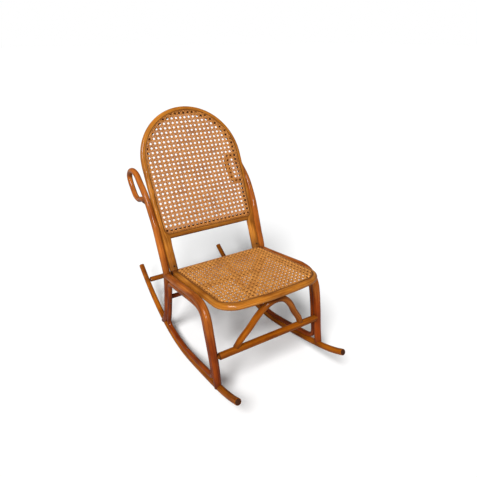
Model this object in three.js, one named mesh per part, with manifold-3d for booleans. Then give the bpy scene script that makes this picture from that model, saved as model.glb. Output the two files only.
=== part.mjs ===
import * as THREE from 'three';
import { mergeGeometries, mergeVertices } from 'three/addons/utils/BufferGeometryUtils.js';
import Module from 'manifold-3d';

// Bentwood rocking chair with a caned seat and a caned arched back.
// Millimetres, Z up, the sitter faces -Y, the sitter's right hand is at -X.

// Overall sizes
const CHAIR_LENGTH = 936;
const CHAIR_WIDTH = 500;
const CHAIR_HEIGHT = 924;

// Depth of each side frame across the chair, over which the rods' places are shared out
const SIDE_FRAME_SPREAD = 250;

// Gap left between pieces that touch, and overrun of every cutting shape
const CLEARANCE = 0.4;
const OVERRUN = 2;

// Rockers
const ROCKER_RISE = 169.5;
const ROCKER_FRONT_RADIUS = 12.4;
const ROCKER_RADIUS = 12;
const ROCKER_REAR_RADIUS = 11.4;
const ROCKER_FRONT_SETBACK = 21;
const ROCKER_REAR_SETBACK = 37;

// Front legs bent over into the side rails
const LEG_FOOT_RADIUS = 13.4;
const LEG_KNEE_RADIUS = 15.5;
const SIDE_RAIL_RADIUS = 14.2;
const FOOT_DROP = 2;

// Rear posts ending in the curled crooks
const POST_RADIUS = 14;
const POST_UPPER_RADIUS = 13.2;
const CROOK_RADIUS = 12.2;
const CROOK_TIP_RADIUS = 10;

// Loops inside the side frames
const LOOP_RADIUS = 9.8;

// Cross bars and their round tenons
const STRETCHER_RADIUS = 13.2;
const STRETCHER_TENON_RADIUS = 8;
const STRETCHER_SETBACK = 37;
const ROCKER_BAR_RADIUS = 11.8;
const ROCKER_BAR_TENON_RADIUS = 6.5;
const ROCKER_BAR_SETBACK = 51;
const POST_BAR_RADIUS = 9.6;
const POST_BAR_TENON_RADIUS = 6;
const POST_BAR_SETBACK = 44;
const TENON_DEPTH = 10;

// Arched brace under the front of the seat
const ARCH_RADIUS = 11.9;
const ARCH_FOOT_HALF_SPAN = 143;
const ARCH_FOOT_SETBACK = 3.2;

// Seat frame, measured in its own sloping plane
const SEAT_DEPTH = 450;
const SEAT_REAR_SETBACK = 34.4;
const SEAT_FRONT_SETBACK = 35;
const SEAT_CORNER_RADIUS = 86;
const SEAT_FRONT_BOW_RADIUS = 1100;
const SEAT_REAR_ALONG = 78;
const SEAT_REAR_HEIGHT = 343.5;
const SEAT_THICKNESS = 24.8;
const SEAT_RAIL_WIDTH = 27.5;
const SEAT_RAIL_END_GAP = 0.8;
const SEAT_SLOPE_DEGREES = 8.75;
const DOWEL_RADIUS = 4.5;
const DOWEL_LENGTH = 34;

// Back hoop, measured in the plane of the back
const BACK_RECLINE_DEGREES = 26.57;
const BACK_ORIGIN_ALONG = 221;
const BACK_ORIGIN_HEIGHT = 651.9;
const HOOP_SPRING_HEIGHT = 83;
const HOOP_SIDE_SETBACK = 38.7;
const HOOP_FOOT_SIDE_SETBACK = 51.6;
const HOOP_FOOT_DROP = 362;
const HOOP_FOOT_SETBACK = 4.6;
const HOOP_WIDTH = 27;
const HOOP_THICKNESS = 24.8;
const HOOP_FOOT_WIDTH = 30;
const BACK_RAIL_DROP = 217.2;
const BACK_RAIL_HEIGHT = 26.7;
const BACK_RAIL_FILLET = 20;
const BACK_RAIL_TENON_RADIUS = 6;

// Cane panels pressed into a groove with a spline
const GROOVE_INSET = 20;
const GROOVE_WIDTH = 4.6;
const GROOVE_DEPTH = 6;
const SPLINE_RISE = 1.4;
const GROOVE_CORNER = 18;
const CANE_THICKNESS = 1.6;
const CANE_BORDER = 9;
const NET_PITCH = 33;
const NET_GAP = 22;

// Counts
const ROD_SIDES = 12;
const LOOP_SIDES = 8;
const LEG_STEPS = 30;
const POST_STEPS = 38;
const ARCH_STEPS = 26;
const HOOP_ARC_STEPS = 20;
const HOOP_LEG_STEPS = 6;
const CORNER_STEPS = 5;
const EDGE_STEPS = 5;

// Colours of the varnished wood and the cane
const WOOD_BROWN = 0xa8621f;
const WOOD_RED = 0x9a5220;
const WOOD_HONEY = 0xb97328;
const CANE_TAN = 0xc99a5a;

// Places along the rocker: share of the half length, share of the rise
const ROCKER_SHARES = [
  [-1, 0.673], [-0.919, 0.563], [-0.808, 0.448], [-0.694, 0.36], [-0.583, 0.283],
  [-0.47, 0.212], [-0.359, 0.145], [-0.248, 0.083], [-0.137, 0.031], [-0.026, 0],
  [0.085, 0], [0.197, 0.027], [0.308, 0.077], [0.419, 0.156], [0.53, 0.263],
  [0.641, 0.395], [0.752, 0.552], [0.863, 0.737], [0.972, 0.944], [1, 1],
];

// Places on the other rods: shares of the side frame's spread, the half length and the height
const LEG_SHARES = [
  [0.918, -0.714, 0.079], [0.92, -0.682, 0.163], [0.929, -0.653, 0.24], [0.938, -0.618, 0.315],
  [0.938, -0.599, 0.347], [0.935, -0.565, 0.375], [0.929, -0.506, 0.394], [0.9225, -0.423, 0.398],
  [0.92, -0.372, 0.395], [0.9175, -0.256, 0.385], [0.9175, 0.002, 0.362], [0.918, 0.167, 0.3485],
];
const POST_SHARES = [
  [0.879, 0.399, 0.036], [0.88, 0.329, 0.082], [0.893, 0.244, 0.212], [0.909, 0.194, 0.307],
  [0.919, 0.18, 0.357], [0.922, 0.237, 0.431], [0.9275, 0.291, 0.5], [0.932, 0.329, 0.547],
  [0.939, 0.381, 0.595], [0.947, 0.48, 0.664], [0.95, 0.594, 0.712], [0.95, 0.66, 0.7365],
  [0.95, 0.755, 0.743], [0.95, 0.84, 0.7275], [0.95, 0.873, 0.7035], [0.95, 0.857, 0.679],
  [0.95, 0.803, 0.648], [0.95, 0.75, 0.6265], [0.95, 0.67, 0.6215], [0.95, 0.596, 0.635],
  [0.95, 0.5, 0.639],
];
const CROOK_SEAT_SHARE = 0.445;

// Limb of the arch: shares of the half span and of the climb from foot to crown
const ARCH_SHARES = [
  [1, 0], [0.9, 0.18], [0.68, 0.45], [0.52, 0.68], [0.375, 0.84], [0.2, 0.96],
];

const STRETCHER_ALONG_SHARE = -0.6755;
const STRETCHER_UP_SHARE = 0.2087;
const ROCKER_BAR_ALONG_SHARE = 0.8465;
const POST_BAR_UP_SHARE = 0.211;
const LOOP_LEG_START_SHARE = 0.135;
const LOOP_RAIL_END_SHARE = 0.068;
const LOOP_POST_TOP_SHARE = 0.292;
const LOOP_POST_END_SHARE = 0.09;
const LOOP_ROCKER_REAR_SHARE = 0.2;
const LOOP_ROCKER_FRONT_SHARE = -0.577;

// Places across the chair, each set in from its outer side
const halfWidth = CHAIR_WIDTH / 2;
const stretcherShoulder = halfWidth - STRETCHER_SETBACK;
const rockerBarShoulder = halfWidth - ROCKER_BAR_SETBACK;
const postBarShoulder = halfWidth - POST_BAR_SETBACK;
const seatRearHalfWidth = halfWidth - SEAT_REAR_SETBACK;
const seatFrontHalfWidth = halfWidth - SEAT_FRONT_SETBACK;
const hoopAxisRadius = halfWidth - HOOP_SIDE_SETBACK;
const hoopFootHalfSpan = halfWidth - HOOP_FOOT_SIDE_SETBACK;

const X_AXIS = new THREE.Vector3(1, 0, 0);
const Z_AXIS = new THREE.Vector3(0, 0, 1);

const wasm = await Module();
wasm.setup();

// Solids from rings

function loft(rings, closed) {
  const sides = rings[0].length;
  const positions = rings.flatMap((ring) => ring.flatMap((point) => point.toArray()));
  const indices = [];
  const spans = closed ? rings.length : rings.length - 1;
  for (let i = 0; i < spans; i += 1) {
    const here = i * sides;
    const next = ((i + 1) % rings.length) * sides;
    for (let j = 0; j < sides; j += 1) {
      const k = (j + 1) % sides;
      indices.push(here + j, next + j, next + k, here + j, next + k, here + k);
    }
  }
  if (!closed) {
    const last = (rings.length - 1) * sides;
    for (let j = 1; j < sides - 1; j += 1) {
      indices.push(0, j, j + 1, last, last + j + 1, last + j);
    }
  }
  const geometry = new THREE.BufferGeometry();
  geometry.setAttribute('position', new THREE.Float32BufferAttribute(positions, 3));
  geometry.setIndex(indices);
  return geometry;
}

function ringAt(centre, tangent, flatAxis, outline) {
  const normal = new THREE.Vector3().crossVectors(flatAxis, tangent).normalize();
  const lateral = new THREE.Vector3().crossVectors(tangent, normal);
  return outline.map(([u, v]) => centre.clone().addScaledVector(lateral, u).addScaledVector(normal, v));
}

function tangentAt(points, index, closed) {
  const count = points.length;
  const before = closed ? points[(index + count - 1) % count] : points[Math.max(index - 1, 0)];
  const after = closed ? points[(index + 1) % count] : points[Math.min(index + 1, count - 1)];
  return new THREE.Vector3().subVectors(after, before).normalize();
}

function sweepRings(points, flatAxis, outlineAt, closed) {
  return points.map((point, index) => {
    const outline = outlineAt(index / (points.length - 1), index);
    return ringAt(point, tangentAt(points, index, closed), flatAxis, outline);
  });
}

function roundOutline(radius, sides) {
  const cornerRadius = radius / Math.cos(Math.PI / sides);
  return Array.from({ length: sides }, (_, j) => {
    const angle = ((j + 0.5) * 2 * Math.PI) / sides;
    return [cornerRadius * Math.cos(angle), cornerRadius * Math.sin(angle)];
  });
}

function radiusAlong(shares, radii, share) {
  const index = Math.max(1, shares.findIndex((mark) => share <= mark));
  const blend = (share - shares[index - 1]) / (shares[index] - shares[index - 1]);
  return THREE.MathUtils.lerp(radii[index - 1], radii[index], THREE.MathUtils.clamp(blend, 0, 1));
}

function rod(points, radiusAt) {
  return loft(sweepRings(points, X_AXIS, (share) => roundOutline(radiusAt(share), ROD_SIDES)), false);
}

function bar(from, to, radius) {
  const flatAxis = Math.abs(to.z - from.z) > Math.abs(to.x - from.x) ? X_AXIS : Z_AXIS;
  return loft(sweepRings([from, to], flatAxis, () => roundOutline(radius, ROD_SIDES)), false);
}

// Joining and cutting of solids

function toSolid(geometry) {
  const bare = new THREE.BufferGeometry();
  bare.setAttribute('position', geometry.getAttribute('position').clone());
  if (geometry.index) {
    bare.setIndex(geometry.index.clone());
  }
  const merged = mergeVertices(bare);
  const mesh = new wasm.Mesh({
    numProp: 3,
    vertProperties: new Float32Array(merged.getAttribute('position').array),
    triVerts: new Uint32Array(merged.index.array),
  });
  return new wasm.Manifold(mesh);
}

function fromSolid(solid) {
  const mesh = solid.getMesh();
  const geometry = new THREE.BufferGeometry();
  geometry.setAttribute('position', new THREE.Float32BufferAttribute(mesh.vertProperties, 3));
  geometry.setIndex(Array.from(mesh.triVerts));
  return geometry;
}

function cut(geometry, tools) {
  return fromSolid(tools.reduce((solid, tool) => solid.subtract(toSolid(tool)), toSolid(geometry)));
}

function join(geometry, others) {
  return fromSolid(others.reduce((solid, other) => solid.add(toSolid(other)), toSolid(geometry)));
}

// Rod paths, for side +1 or -1

function place([acrossShare, alongShare, upShare], side) {
  const across = side * (halfWidth - (1 - acrossShare) * SIDE_FRAME_SPREAD);
  return new THREE.Vector3(across, (alongShare * CHAIR_LENGTH) / 2, upShare * CHAIR_HEIGHT);
}

function smoothPath(controls, steps) {
  return new THREE.CatmullRomCurve3(controls, false, 'centripetal').getSpacedPoints(steps);
}

function rockerPath(side) {
  return ROCKER_SHARES.map(([alongShare, riseShare]) => {
    const setback = THREE.MathUtils.lerp(ROCKER_FRONT_SETBACK, ROCKER_REAR_SETBACK, (alongShare + 1) / 2);
    const across = halfWidth - setback;
    const along = (alongShare * CHAIR_LENGTH) / 2;
    return new THREE.Vector3(side * across, along, ROCKER_RADIUS + riseShare * ROCKER_RISE);
  });
}

function legPath(side) {
  return smoothPath(LEG_SHARES.map((shares) => place(shares, side)), LEG_STEPS);
}

function postPath(side) {
  return smoothPath(POST_SHARES.map((shares) => place(shares, side)), POST_STEPS);
}

function rockerRadius(share) {
  const radii = [ROCKER_FRONT_RADIUS, ROCKER_RADIUS, ROCKER_RADIUS, ROCKER_REAR_RADIUS];
  return radiusAlong([0, 0.35, 0.6, 1], radii, share);
}

function legRadius(share) {
  const radii = [LEG_FOOT_RADIUS, LEG_KNEE_RADIUS, SIDE_RAIL_RADIUS, SIDE_RAIL_RADIUS];
  return radiusAlong([0, 0.42, 0.62, 1], radii, share);
}

function postRadius(share) {
  const radii = [POST_RADIUS, POST_RADIUS, POST_UPPER_RADIUS, CROOK_RADIUS, CROOK_TIP_RADIUS];
  return radiusAlong([0, 0.4, 0.52, 0.7, 1], radii, share);
}

// Stretch of a neighbour's path, moved sideways in its own plane by both radii and the gap

function beside(path, radiusAt, direction) {
  return path.map((point, index) => {
    const tangent = tangentAt(path, index, false);
    const normal = new THREE.Vector3().crossVectors(X_AXIS, tangent).normalize();
    const reach = radiusAt(index / (path.length - 1)) + LOOP_RADIUS + CLEARANCE;
    return point.clone().addScaledVector(normal, direction * reach);
  });
}

function crossing(run, axis, value) {
  for (let i = 1; i < run.length; i += 1) {
    const before = run[i - 1][axis];
    const after = run[i][axis];
    if ((before - value) * (after - value) <= 0) {
      return { index: i, point: run[i - 1].clone().lerp(run[i], (value - before) / (after - before)) };
    }
  }
  return { index: run.length, point: run[run.length - 1].clone() };
}

function between(run, start, end) {
  const first = crossing(run, start.axis, start.value);
  const last = crossing(run, end.axis, end.value);
  return [first.point, ...run.slice(first.index, last.index), last.point];
}

// Rounded corner between the end of one run and the start of the next

function cornerPoints(run, next) {
  const end = run[run.length - 1];
  const endWay = new THREE.Vector3().subVectors(end, run[run.length - 2]).normalize();
  const start = next[0];
  const startWay = new THREE.Vector3().subVectors(start, next[1]).normalize();
  const gap = new THREE.Vector3().subVectors(start, end);
  const turn = endWay.y * startWay.z - endWay.z * startWay.y;
  const reach = (gap.y * startWay.z - gap.z * startWay.y) / turn;
  const back = (gap.y * endWay.z - gap.z * endWay.y) / turn;
  const apex = end.clone().addScaledVector(endWay, reach);
  apex.x = (apex.x + start.x + startWay.x * back) / 2;
  const corner = new THREE.QuadraticBezierCurve3(end, apex, start);
  return corner.getPoints(CORNER_STEPS).slice(1, -1);
}

function loopPath(side) {
  const legRun = between(
    beside(legPath(side), legRadius, -1),
    { axis: 'z', value: LOOP_LEG_START_SHARE * CHAIR_HEIGHT },
    { axis: 'y', value: (LOOP_RAIL_END_SHARE * CHAIR_LENGTH) / 2 },
  );
  const post = postPath(side);
  const postRun = between(
    beside(post, postRadius, 1).reverse().slice(POST_STEPS / 2),
    { axis: 'z', value: LOOP_POST_TOP_SHARE * CHAIR_HEIGHT },
    { axis: 'z', value: LOOP_POST_END_SHARE * CHAIR_HEIGHT },
  );
  const rockerRun = between(
    beside(rockerPath(side), rockerRadius, 1).reverse(),
    { axis: 'y', value: (LOOP_ROCKER_REAR_SHARE * CHAIR_LENGTH) / 2 },
    { axis: 'y', value: (LOOP_ROCKER_FRONT_SHARE * CHAIR_LENGTH) / 2 },
  );
  return [
    ...legRun, ...cornerPoints(legRun, postRun),
    ...postRun, ...cornerPoints(postRun, rockerRun),
    ...rockerRun, ...cornerPoints(rockerRun, legRun),
  ];
}

// Turned cross bar with a round tenon on each end

function tenonedBar(along, up, radius, shoulder, tenonRadius, reach) {
  const stations = [
    [-reach, tenonRadius], [-shoulder, tenonRadius], [-shoulder, radius],
    [shoulder, radius], [shoulder, tenonRadius], [reach, tenonRadius],
  ];
  const rings = stations.map(([across, size]) => {
    const centre = new THREE.Vector3(across, along, up);
    return ringAt(centre, X_AXIS, Z_AXIS, roundOutline(size, ROD_SIDES));
  });
  return loft(rings, false);
}

function tenonBore(across, along, up, side, tenonRadius, reach) {
  const from = new THREE.Vector3(side * across, along, up);
  const to = new THREE.Vector3(side * (reach + CLEARANCE), along, up);
  return bar(side > 0 ? from : to, side > 0 ? to : from, tenonRadius + CLEARANCE);
}

function pointOnPath(path, axis, value) {
  return crossing(path, axis, value).point;
}

// Where each cross bar meets its posts

const stretcherAlong = (STRETCHER_ALONG_SHARE * CHAIR_LENGTH) / 2;
const stretcherUp = STRETCHER_UP_SHARE * CHAIR_HEIGHT;
const stretcherReach = stretcherShoulder + TENON_DEPTH + OVERRUN + OVERRUN;
const rockerBarPlace = pointOnPath(rockerPath(1), 'y', (ROCKER_BAR_ALONG_SHARE * CHAIR_LENGTH) / 2);
const rockerBarReach = rockerBarShoulder + TENON_DEPTH + OVERRUN;
const postBarPlace = pointOnPath(postPath(1), 'z', POST_BAR_UP_SHARE * CHAIR_HEIGHT);
const postBarReach = postBarShoulder + TENON_DEPTH + OVERRUN + OVERRUN;

function rocker(side) {
  const { y, z } = rockerBarPlace;
  const bore = tenonBore(rockerBarShoulder, y, z, side, ROCKER_BAR_TENON_RADIUS, rockerBarReach);
  return cut(rod(rockerPath(side), rockerRadius), [bore]);
}

// Rocker with the gap round it, to seat a foot on

function rockerSeat(side) {
  return rod(rockerPath(side), (share) => rockerRadius(share) + CLEARANCE);
}

// Slides an end ring along its rod until it lies in a plane

function flattenEnd(ring, way, point, normal) {
  ring.forEach((corner) => {
    const distance = new THREE.Vector3().subVectors(point, corner).dot(normal) / way.dot(normal);
    corner.addScaledVector(way, distance);
  });
}

// The foot's end runs parallel to the rocker, a little below its middle

function footedRings(path, radiusAt, side) {
  const rings = sweepRings(path, X_AXIS, (share) => roundOutline(radiusAt(share), ROD_SIDES));
  const near = crossing(rockerPath(side), 'y', path[0].y);
  const rockerWay = tangentAt(rockerPath(side), near.index, false);
  const upward = new THREE.Vector3().crossVectors(X_AXIS, rockerWay).normalize();
  const sole = near.point.clone().addScaledVector(upward, -FOOT_DROP);
  flattenEnd(rings[0], tangentAt(path, 0, false), sole, upward);
  return rings;
}

function frontLeg(side) {
  const bore = tenonBore(
    stretcherShoulder, stretcherAlong, stretcherUp, side, STRETCHER_TENON_RADIUS, stretcherReach,
  );
  const post = rod(postPath(side).slice(0, POST_STEPS / 2), () => POST_RADIUS + CLEARANCE);
  return cut(loft(footedRings(legPath(side), legRadius, side), false), [rockerSeat(side), bore, post]);
}

// The crook's tip is cut to lie against the back of its own post

function rearPost(side) {
  const path = postPath(side);
  const rings = footedRings(path, postRadius, side);
  const near = crossing(path, 'y', (CROOK_SEAT_SHARE * CHAIR_LENGTH) / 2);
  const postWay = tangentAt(path, near.index, false);
  const rearNormal = new THREE.Vector3().crossVectors(postWay, X_AXIS).normalize();
  const reach = postRadius(near.index / POST_STEPS) + CLEARANCE;
  const face = near.point.clone().addScaledVector(rearNormal, reach);
  flattenEnd(rings[rings.length - 1], tangentAt(path, path.length - 1, false), face, rearNormal);
  const { y, z } = postBarPlace;
  const bore = tenonBore(postBarShoulder, y, z, side, POST_BAR_TENON_RADIUS, postBarReach);
  return cut(loft(rings, false), [rockerSeat(side), bore]);
}

function sideLoop(side) {
  const rings = sweepRings(loopPath(side), X_AXIS, () => roundOutline(LOOP_RADIUS, LOOP_SIDES), true);
  return loft(rings, true);
}

function frontStretcher() {
  return tenonedBar(
    stretcherAlong, stretcherUp, STRETCHER_RADIUS, stretcherShoulder, STRETCHER_TENON_RADIUS, stretcherReach,
  );
}

function rearRockerBar() {
  const { y, z } = rockerBarPlace;
  return tenonedBar(y, z, ROCKER_BAR_RADIUS, rockerBarShoulder, ROCKER_BAR_TENON_RADIUS, rockerBarReach);
}

function rearPostBar() {
  const { y, z } = postBarPlace;
  return tenonedBar(y, z, POST_BAR_RADIUS, postBarShoulder, POST_BAR_TENON_RADIUS, postBarReach);
}

// Seat plane: x across, y rearwards, z up from its top face

const seatFrameMatrix = new THREE.Matrix4()
  .makeRotationX(THREE.MathUtils.degToRad(-SEAT_SLOPE_DEGREES))
  .setPosition(0, SEAT_REAR_ALONG, SEAT_REAR_HEIGHT);

function seatHalfWidth(y) {
  return THREE.MathUtils.lerp(seatRearHalfWidth, seatFrontHalfWidth, -y / SEAT_DEPTH);
}

// Arc of a rounded corner in plan

function arcPoints(centreX, centreY, radius, fromDegrees, toDegrees, steps) {
  return Array.from({ length: steps + 1 }, (_, i) => {
    const angle = THREE.MathUtils.degToRad(THREE.MathUtils.lerp(fromDegrees, toDegrees, i / steps));
    const x = centreX + radius * Math.cos(angle);
    return new THREE.Vector3(x, centreY + radius * Math.sin(angle), 0);
  });
}

// Front of the seat: a slightly bowed edge between two rounded corners

const seatCornerX = seatHalfWidth(SEAT_CORNER_RADIUS - SEAT_DEPTH) - SEAT_CORNER_RADIUS;
const seatBowY = SEAT_FRONT_BOW_RADIUS - SEAT_DEPTH;
const seatBowReach = SEAT_FRONT_BOW_RADIUS - SEAT_CORNER_RADIUS;
const seatCornerY = seatBowY - Math.sqrt(seatBowReach ** 2 - seatCornerX ** 2);
const seatBowDegrees = THREE.MathUtils.radToDeg(Math.asin(seatCornerX / seatBowReach));

// Front outline, inset by the given distance, from the -X side round to the +X side

function seatFrontOutline(inset) {
  const radius = SEAT_CORNER_RADIUS - inset;
  const bowStart = 270 - seatBowDegrees;
  const bowEnd = 270 + seatBowDegrees;
  const bow = arcPoints(0, seatBowY, SEAT_FRONT_BOW_RADIUS - inset, bowStart, bowEnd, CORNER_STEPS - 1);
  return [
    ...arcPoints(-seatCornerX, seatCornerY, radius, 180, bowStart, CORNER_STEPS + 1),
    ...bow.slice(1, -1),
    ...arcPoints(seatCornerX, seatCornerY, radius, bowEnd, 360, CORNER_STEPS + 1),
  ];
}

function seatOutline(inset, rearCorner) {
  const rearX = seatHalfWidth(-inset) - inset - rearCorner;
  return [
    ...seatFrontOutline(inset),
    ...arcPoints(rearX, -inset - rearCorner, rearCorner, 0, 90, 3),
    ...arcPoints(-rearX, -inset - rearCorner, rearCorner, 90, 180, 3),
  ];
}

// Frame section: up from the top face, inwards from the outer edge, outer edge half round

function frameOutline(thickness, width, roundDepth) {
  const edge = Array.from({ length: EDGE_STEPS + 1 }, (_, i) => {
    const angle = Math.PI * (1 + i / EDGE_STEPS);
    return [
      -thickness / 2 + (thickness / 2) * Math.cos(angle),
      roundDepth + roundDepth * Math.sin(angle),
    ];
  });
  return [[0, width], [-thickness, width], ...edge];
}

const seatSection = frameOutline(SEAT_THICKNESS, SEAT_RAIL_WIDTH, SEAT_THICKNESS / 2);

function seatBendPath() {
  const endY = -SEAT_RAIL_WIDTH - CLEARANCE;
  const endX = seatHalfWidth(endY);
  return [
    new THREE.Vector3(-endX, endY, 0), ...seatFrontOutline(0), new THREE.Vector3(endX, endY, 0),
  ];
}

// Ring with a four-sided section along a closed outline, between two heights

function squareRing(outline, halfWidth, bottom, top) {
  const section = [[top, -halfWidth], [top, halfWidth], [bottom, halfWidth], [bottom, -halfWidth]];
  return loft(sweepRings(outline, Z_AXIS, () => section, true), true);
}

function seatGroove() {
  return squareRing(seatOutline(GROOVE_INSET, GROOVE_CORNER), GROOVE_WIDTH / 2, -GROOVE_DEPTH, OVERRUN);
}

function dowelEnds(side, spare) {
  const x = side * (seatHalfWidth(0) - SEAT_RAIL_WIDTH / 2);
  const middle = -SEAT_RAIL_WIDTH - CLEARANCE / 2;
  const reach = DOWEL_LENGTH / 2 + spare;
  const depth = -SEAT_THICKNESS + DOWEL_RADIUS * 2;
  return [new THREE.Vector3(x, middle - reach, depth), new THREE.Vector3(x, middle + reach, depth)];
}

function seatDowel(side, spare) {
  const [from, to] = dowelEnds(side, spare);
  return loft(sweepRings([from, to], Z_AXIS, () => roundOutline(DOWEL_RADIUS + spare, ROD_SIDES)), false);
}

function seatDowelBores() {
  return [seatDowel(-1, CLEARANCE), seatDowel(1, CLEARANCE)];
}

function seatBend() {
  const bend = loft(sweepRings(seatBendPath(), Z_AXIS, () => seatSection), false);
  return cut(bend, [seatGroove(), ...seatDowelBores()]);
}

function seatRearRail() {
  const end = seatRearHalfWidth - SEAT_RAIL_END_GAP;
  const path = [new THREE.Vector3(end, 0, 0), new THREE.Vector3(-end, 0, 0)];
  const rail = loft(sweepRings(path, Z_AXIS, () => seatSection), false);
  return cut(rail, [seatGroove(), ...seatDowelBores()]);
}

function seatSpline() {
  const halfWidth = GROOVE_WIDTH / 2 - CLEARANCE;
  const outline = seatOutline(GROOVE_INSET, GROOVE_CORNER);
  return squareRing(outline, halfWidth, -GROOVE_DEPTH + CLEARANCE, SPLINE_RISE);
}

// Flat net: a sheet with rows of four-sided gaps

function gapBlock(x, y) {
  const half = NET_GAP / 2;
  const corners = [[x - half, y - half], [x + half, y - half], [x + half, y + half], [x - half, y + half]];
  const heights = [CANE_THICKNESS + OVERRUN, -OVERRUN];
  return loft(heights.map((z) => corners.map(([cx, cy]) => new THREE.Vector3(cx, cy, z))), false);
}

function netSheet(outline, holds, rows, columns, centreY) {
  const shape = new THREE.Shape(outline.map((point) => new THREE.Vector2(point.x, point.y)));
  const sheet = new THREE.ExtrudeGeometry(shape, { depth: CANE_THICKNESS, bevelEnabled: false });
  const gaps = [];
  for (let row = -rows; row <= rows; row += 1) {
    for (let column = -columns; column <= columns; column += 1) {
      const x = column * NET_PITCH;
      const y = centreY + row * NET_PITCH;
      const outerX = Math.abs(x) + NET_GAP / 2;
      if (holds(outerX, y - NET_GAP / 2) && holds(outerX, y + NET_GAP / 2)) {
        gaps.push(gapBlock(x, y));
      }
    }
  }
  return cut(sheet, [mergeGeometries(gaps)]).translate(0, 0, CLEARANCE);
}

const caneInset = GROOVE_INSET + GROOVE_WIDTH / 2;

function seatNetHolds(x, y) {
  const inset = caneInset + CANE_BORDER;
  const inBow = Math.hypot(x, y - seatBowY) < SEAT_FRONT_BOW_RADIUS - inset;
  const inCorner = x > seatCornerX && y < seatCornerY;
  const round = Math.hypot(x - seatCornerX, y - seatCornerY) < SEAT_CORNER_RADIUS - inset;
  return inBow && x < seatHalfWidth(y) - inset && y < -inset && (!inCorner || round);
}

function seatCane() {
  const outline = seatOutline(caneInset, GROOVE_CORNER - GROOVE_WIDTH / 2);
  const rows = Math.ceil(SEAT_DEPTH / NET_PITCH / 2);
  return netSheet(outline, seatNetHolds, rows, rows, -SEAT_DEPTH / 2);
}

// Back plane: x across, y up the back, z out of its front face

const recline = THREE.MathUtils.degToRad(BACK_RECLINE_DEGREES);
const backFrameMatrix = new THREE.Matrix4()
  .makeRotationX(Math.PI / 2 - recline)
  .setPosition(0, BACK_ORIGIN_ALONG, BACK_ORIGIN_HEIGHT);

function hoopHalfSpan(y) {
  const climb = THREE.MathUtils.smoothstep(y, -HOOP_FOOT_DROP, HOOP_SPRING_HEIGHT);
  return THREE.MathUtils.lerp(hoopFootHalfSpan, hoopAxisRadius, climb);
}

function hoopWidth(y) {
  const climb = THREE.MathUtils.smoothstep(y, -BACK_RAIL_DROP, HOOP_SPRING_HEIGHT);
  return THREE.MathUtils.lerp(HOOP_FOOT_WIDTH, HOOP_WIDTH, climb);
}

function hoopThickness(y) {
  const blend = THREE.MathUtils.clamp((-y - BACK_RAIL_DROP) / (HOOP_FOOT_DROP - BACK_RAIL_DROP), 0, 1);
  return THREE.MathUtils.lerp(HOOP_THICKNESS, HOOP_FOOT_WIDTH, Math.min(1, blend * 2));
}

function hoopSetback(y) {
  const blend = THREE.MathUtils.clamp((-y - BACK_RAIL_DROP) / (HOOP_FOOT_DROP - BACK_RAIL_DROP), 0, 1);
  return HOOP_THICKNESS / 2 + blend * HOOP_FOOT_SETBACK;
}

function hoopLegPoint(side, index) {
  const y = THREE.MathUtils.lerp(-HOOP_FOOT_DROP, HOOP_SPRING_HEIGHT, index / HOOP_LEG_STEPS);
  return new THREE.Vector3(side * hoopHalfSpan(y), y, 0);
}

function hoopPath() {
  const indices = Array.from({ length: HOOP_LEG_STEPS }, (_, i) => i);
  const arc = arcPoints(0, HOOP_SPRING_HEIGHT, hoopAxisRadius, 0, 180, HOOP_ARC_STEPS);
  const right = indices.map((i) => hoopLegPoint(1, i));
  const left = indices.map((i) => hoopLegPoint(-1, i)).reverse();
  return [...right, ...arc, ...left].map((point) => point.setZ(-hoopSetback(point.y)));
}

// Hoop section in shares of half thickness and half width, flat in front and round outside

const HOOP_SECTION_SHARES = [
  [1, -0.5], [1, 0.92], [0.85, 1], [-0.4, 1], [-0.85, 0.8], [-1, 0.45],
  [-1, -0.4], [-0.75, -0.82], [-0.3, -1], [0.4, -1], [0.8, -0.8],
];

function hoopSection(point, spare) {
  const halfThickness = hoopThickness(point.y) / 2 + spare;
  const halfWidth = hoopWidth(point.y) / 2 + spare;
  return HOOP_SECTION_SHARES.map(([front, inward]) => [front * halfThickness, inward * halfWidth]);
}

function hoopSolid(spare) {
  const path = hoopPath();
  return loft(sweepRings(path, Z_AXIS, (share, index) => hoopSection(path[index], spare)), false);
}

function hoopOuter(y) {
  return hoopHalfSpan(y) + hoopWidth(y) / 2;
}

// Closed outline of the panel, inset from the hoop's outer edge and the rail's lower edge

function backOutline(inset, corner) {
  const radius = hoopAxisRadius + HOOP_WIDTH / 2 - inset;
  const bottom = -BACK_RAIL_DROP + inset;
  const cornerX = hoopOuter(bottom) - inset - corner;
  return [
    ...arcPoints(0, HOOP_SPRING_HEIGHT, radius, 0, 180, HOOP_ARC_STEPS),
    ...arcPoints(-cornerX, bottom + corner, corner, 180, 270, 3),
    ...arcPoints(cornerX, bottom + corner, corner, 270, 360, 3),
  ];
}

function backGroove() {
  return squareRing(backOutline(GROOVE_INSET, GROOVE_CORNER), GROOVE_WIDTH / 2, -GROOVE_DEPTH, OVERRUN);
}

// Round tenons of the lower rail, turned into the hoop on both sides

const railMiddle = -BACK_RAIL_DROP + BACK_RAIL_HEIGHT / 2;
const railTenonReach = hoopHalfSpan(railMiddle) - CLEARANCE;

function railTenon(side, spare) {
  const inner = side * (railTenonReach - HOOP_WIDTH);
  const outer = side * (railTenonReach + spare);
  const ends = [Math.min(inner, outer), Math.max(inner, outer)];
  const depth = -HOOP_THICKNESS / 2 - OVERRUN;
  const path = ends.map((x) => new THREE.Vector3(x, railMiddle, depth));
  const outline = roundOutline(BACK_RAIL_TENON_RADIUS + spare, ROD_SIDES);
  return loft(sweepRings(path, Z_AXIS, () => outline), false);
}

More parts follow.
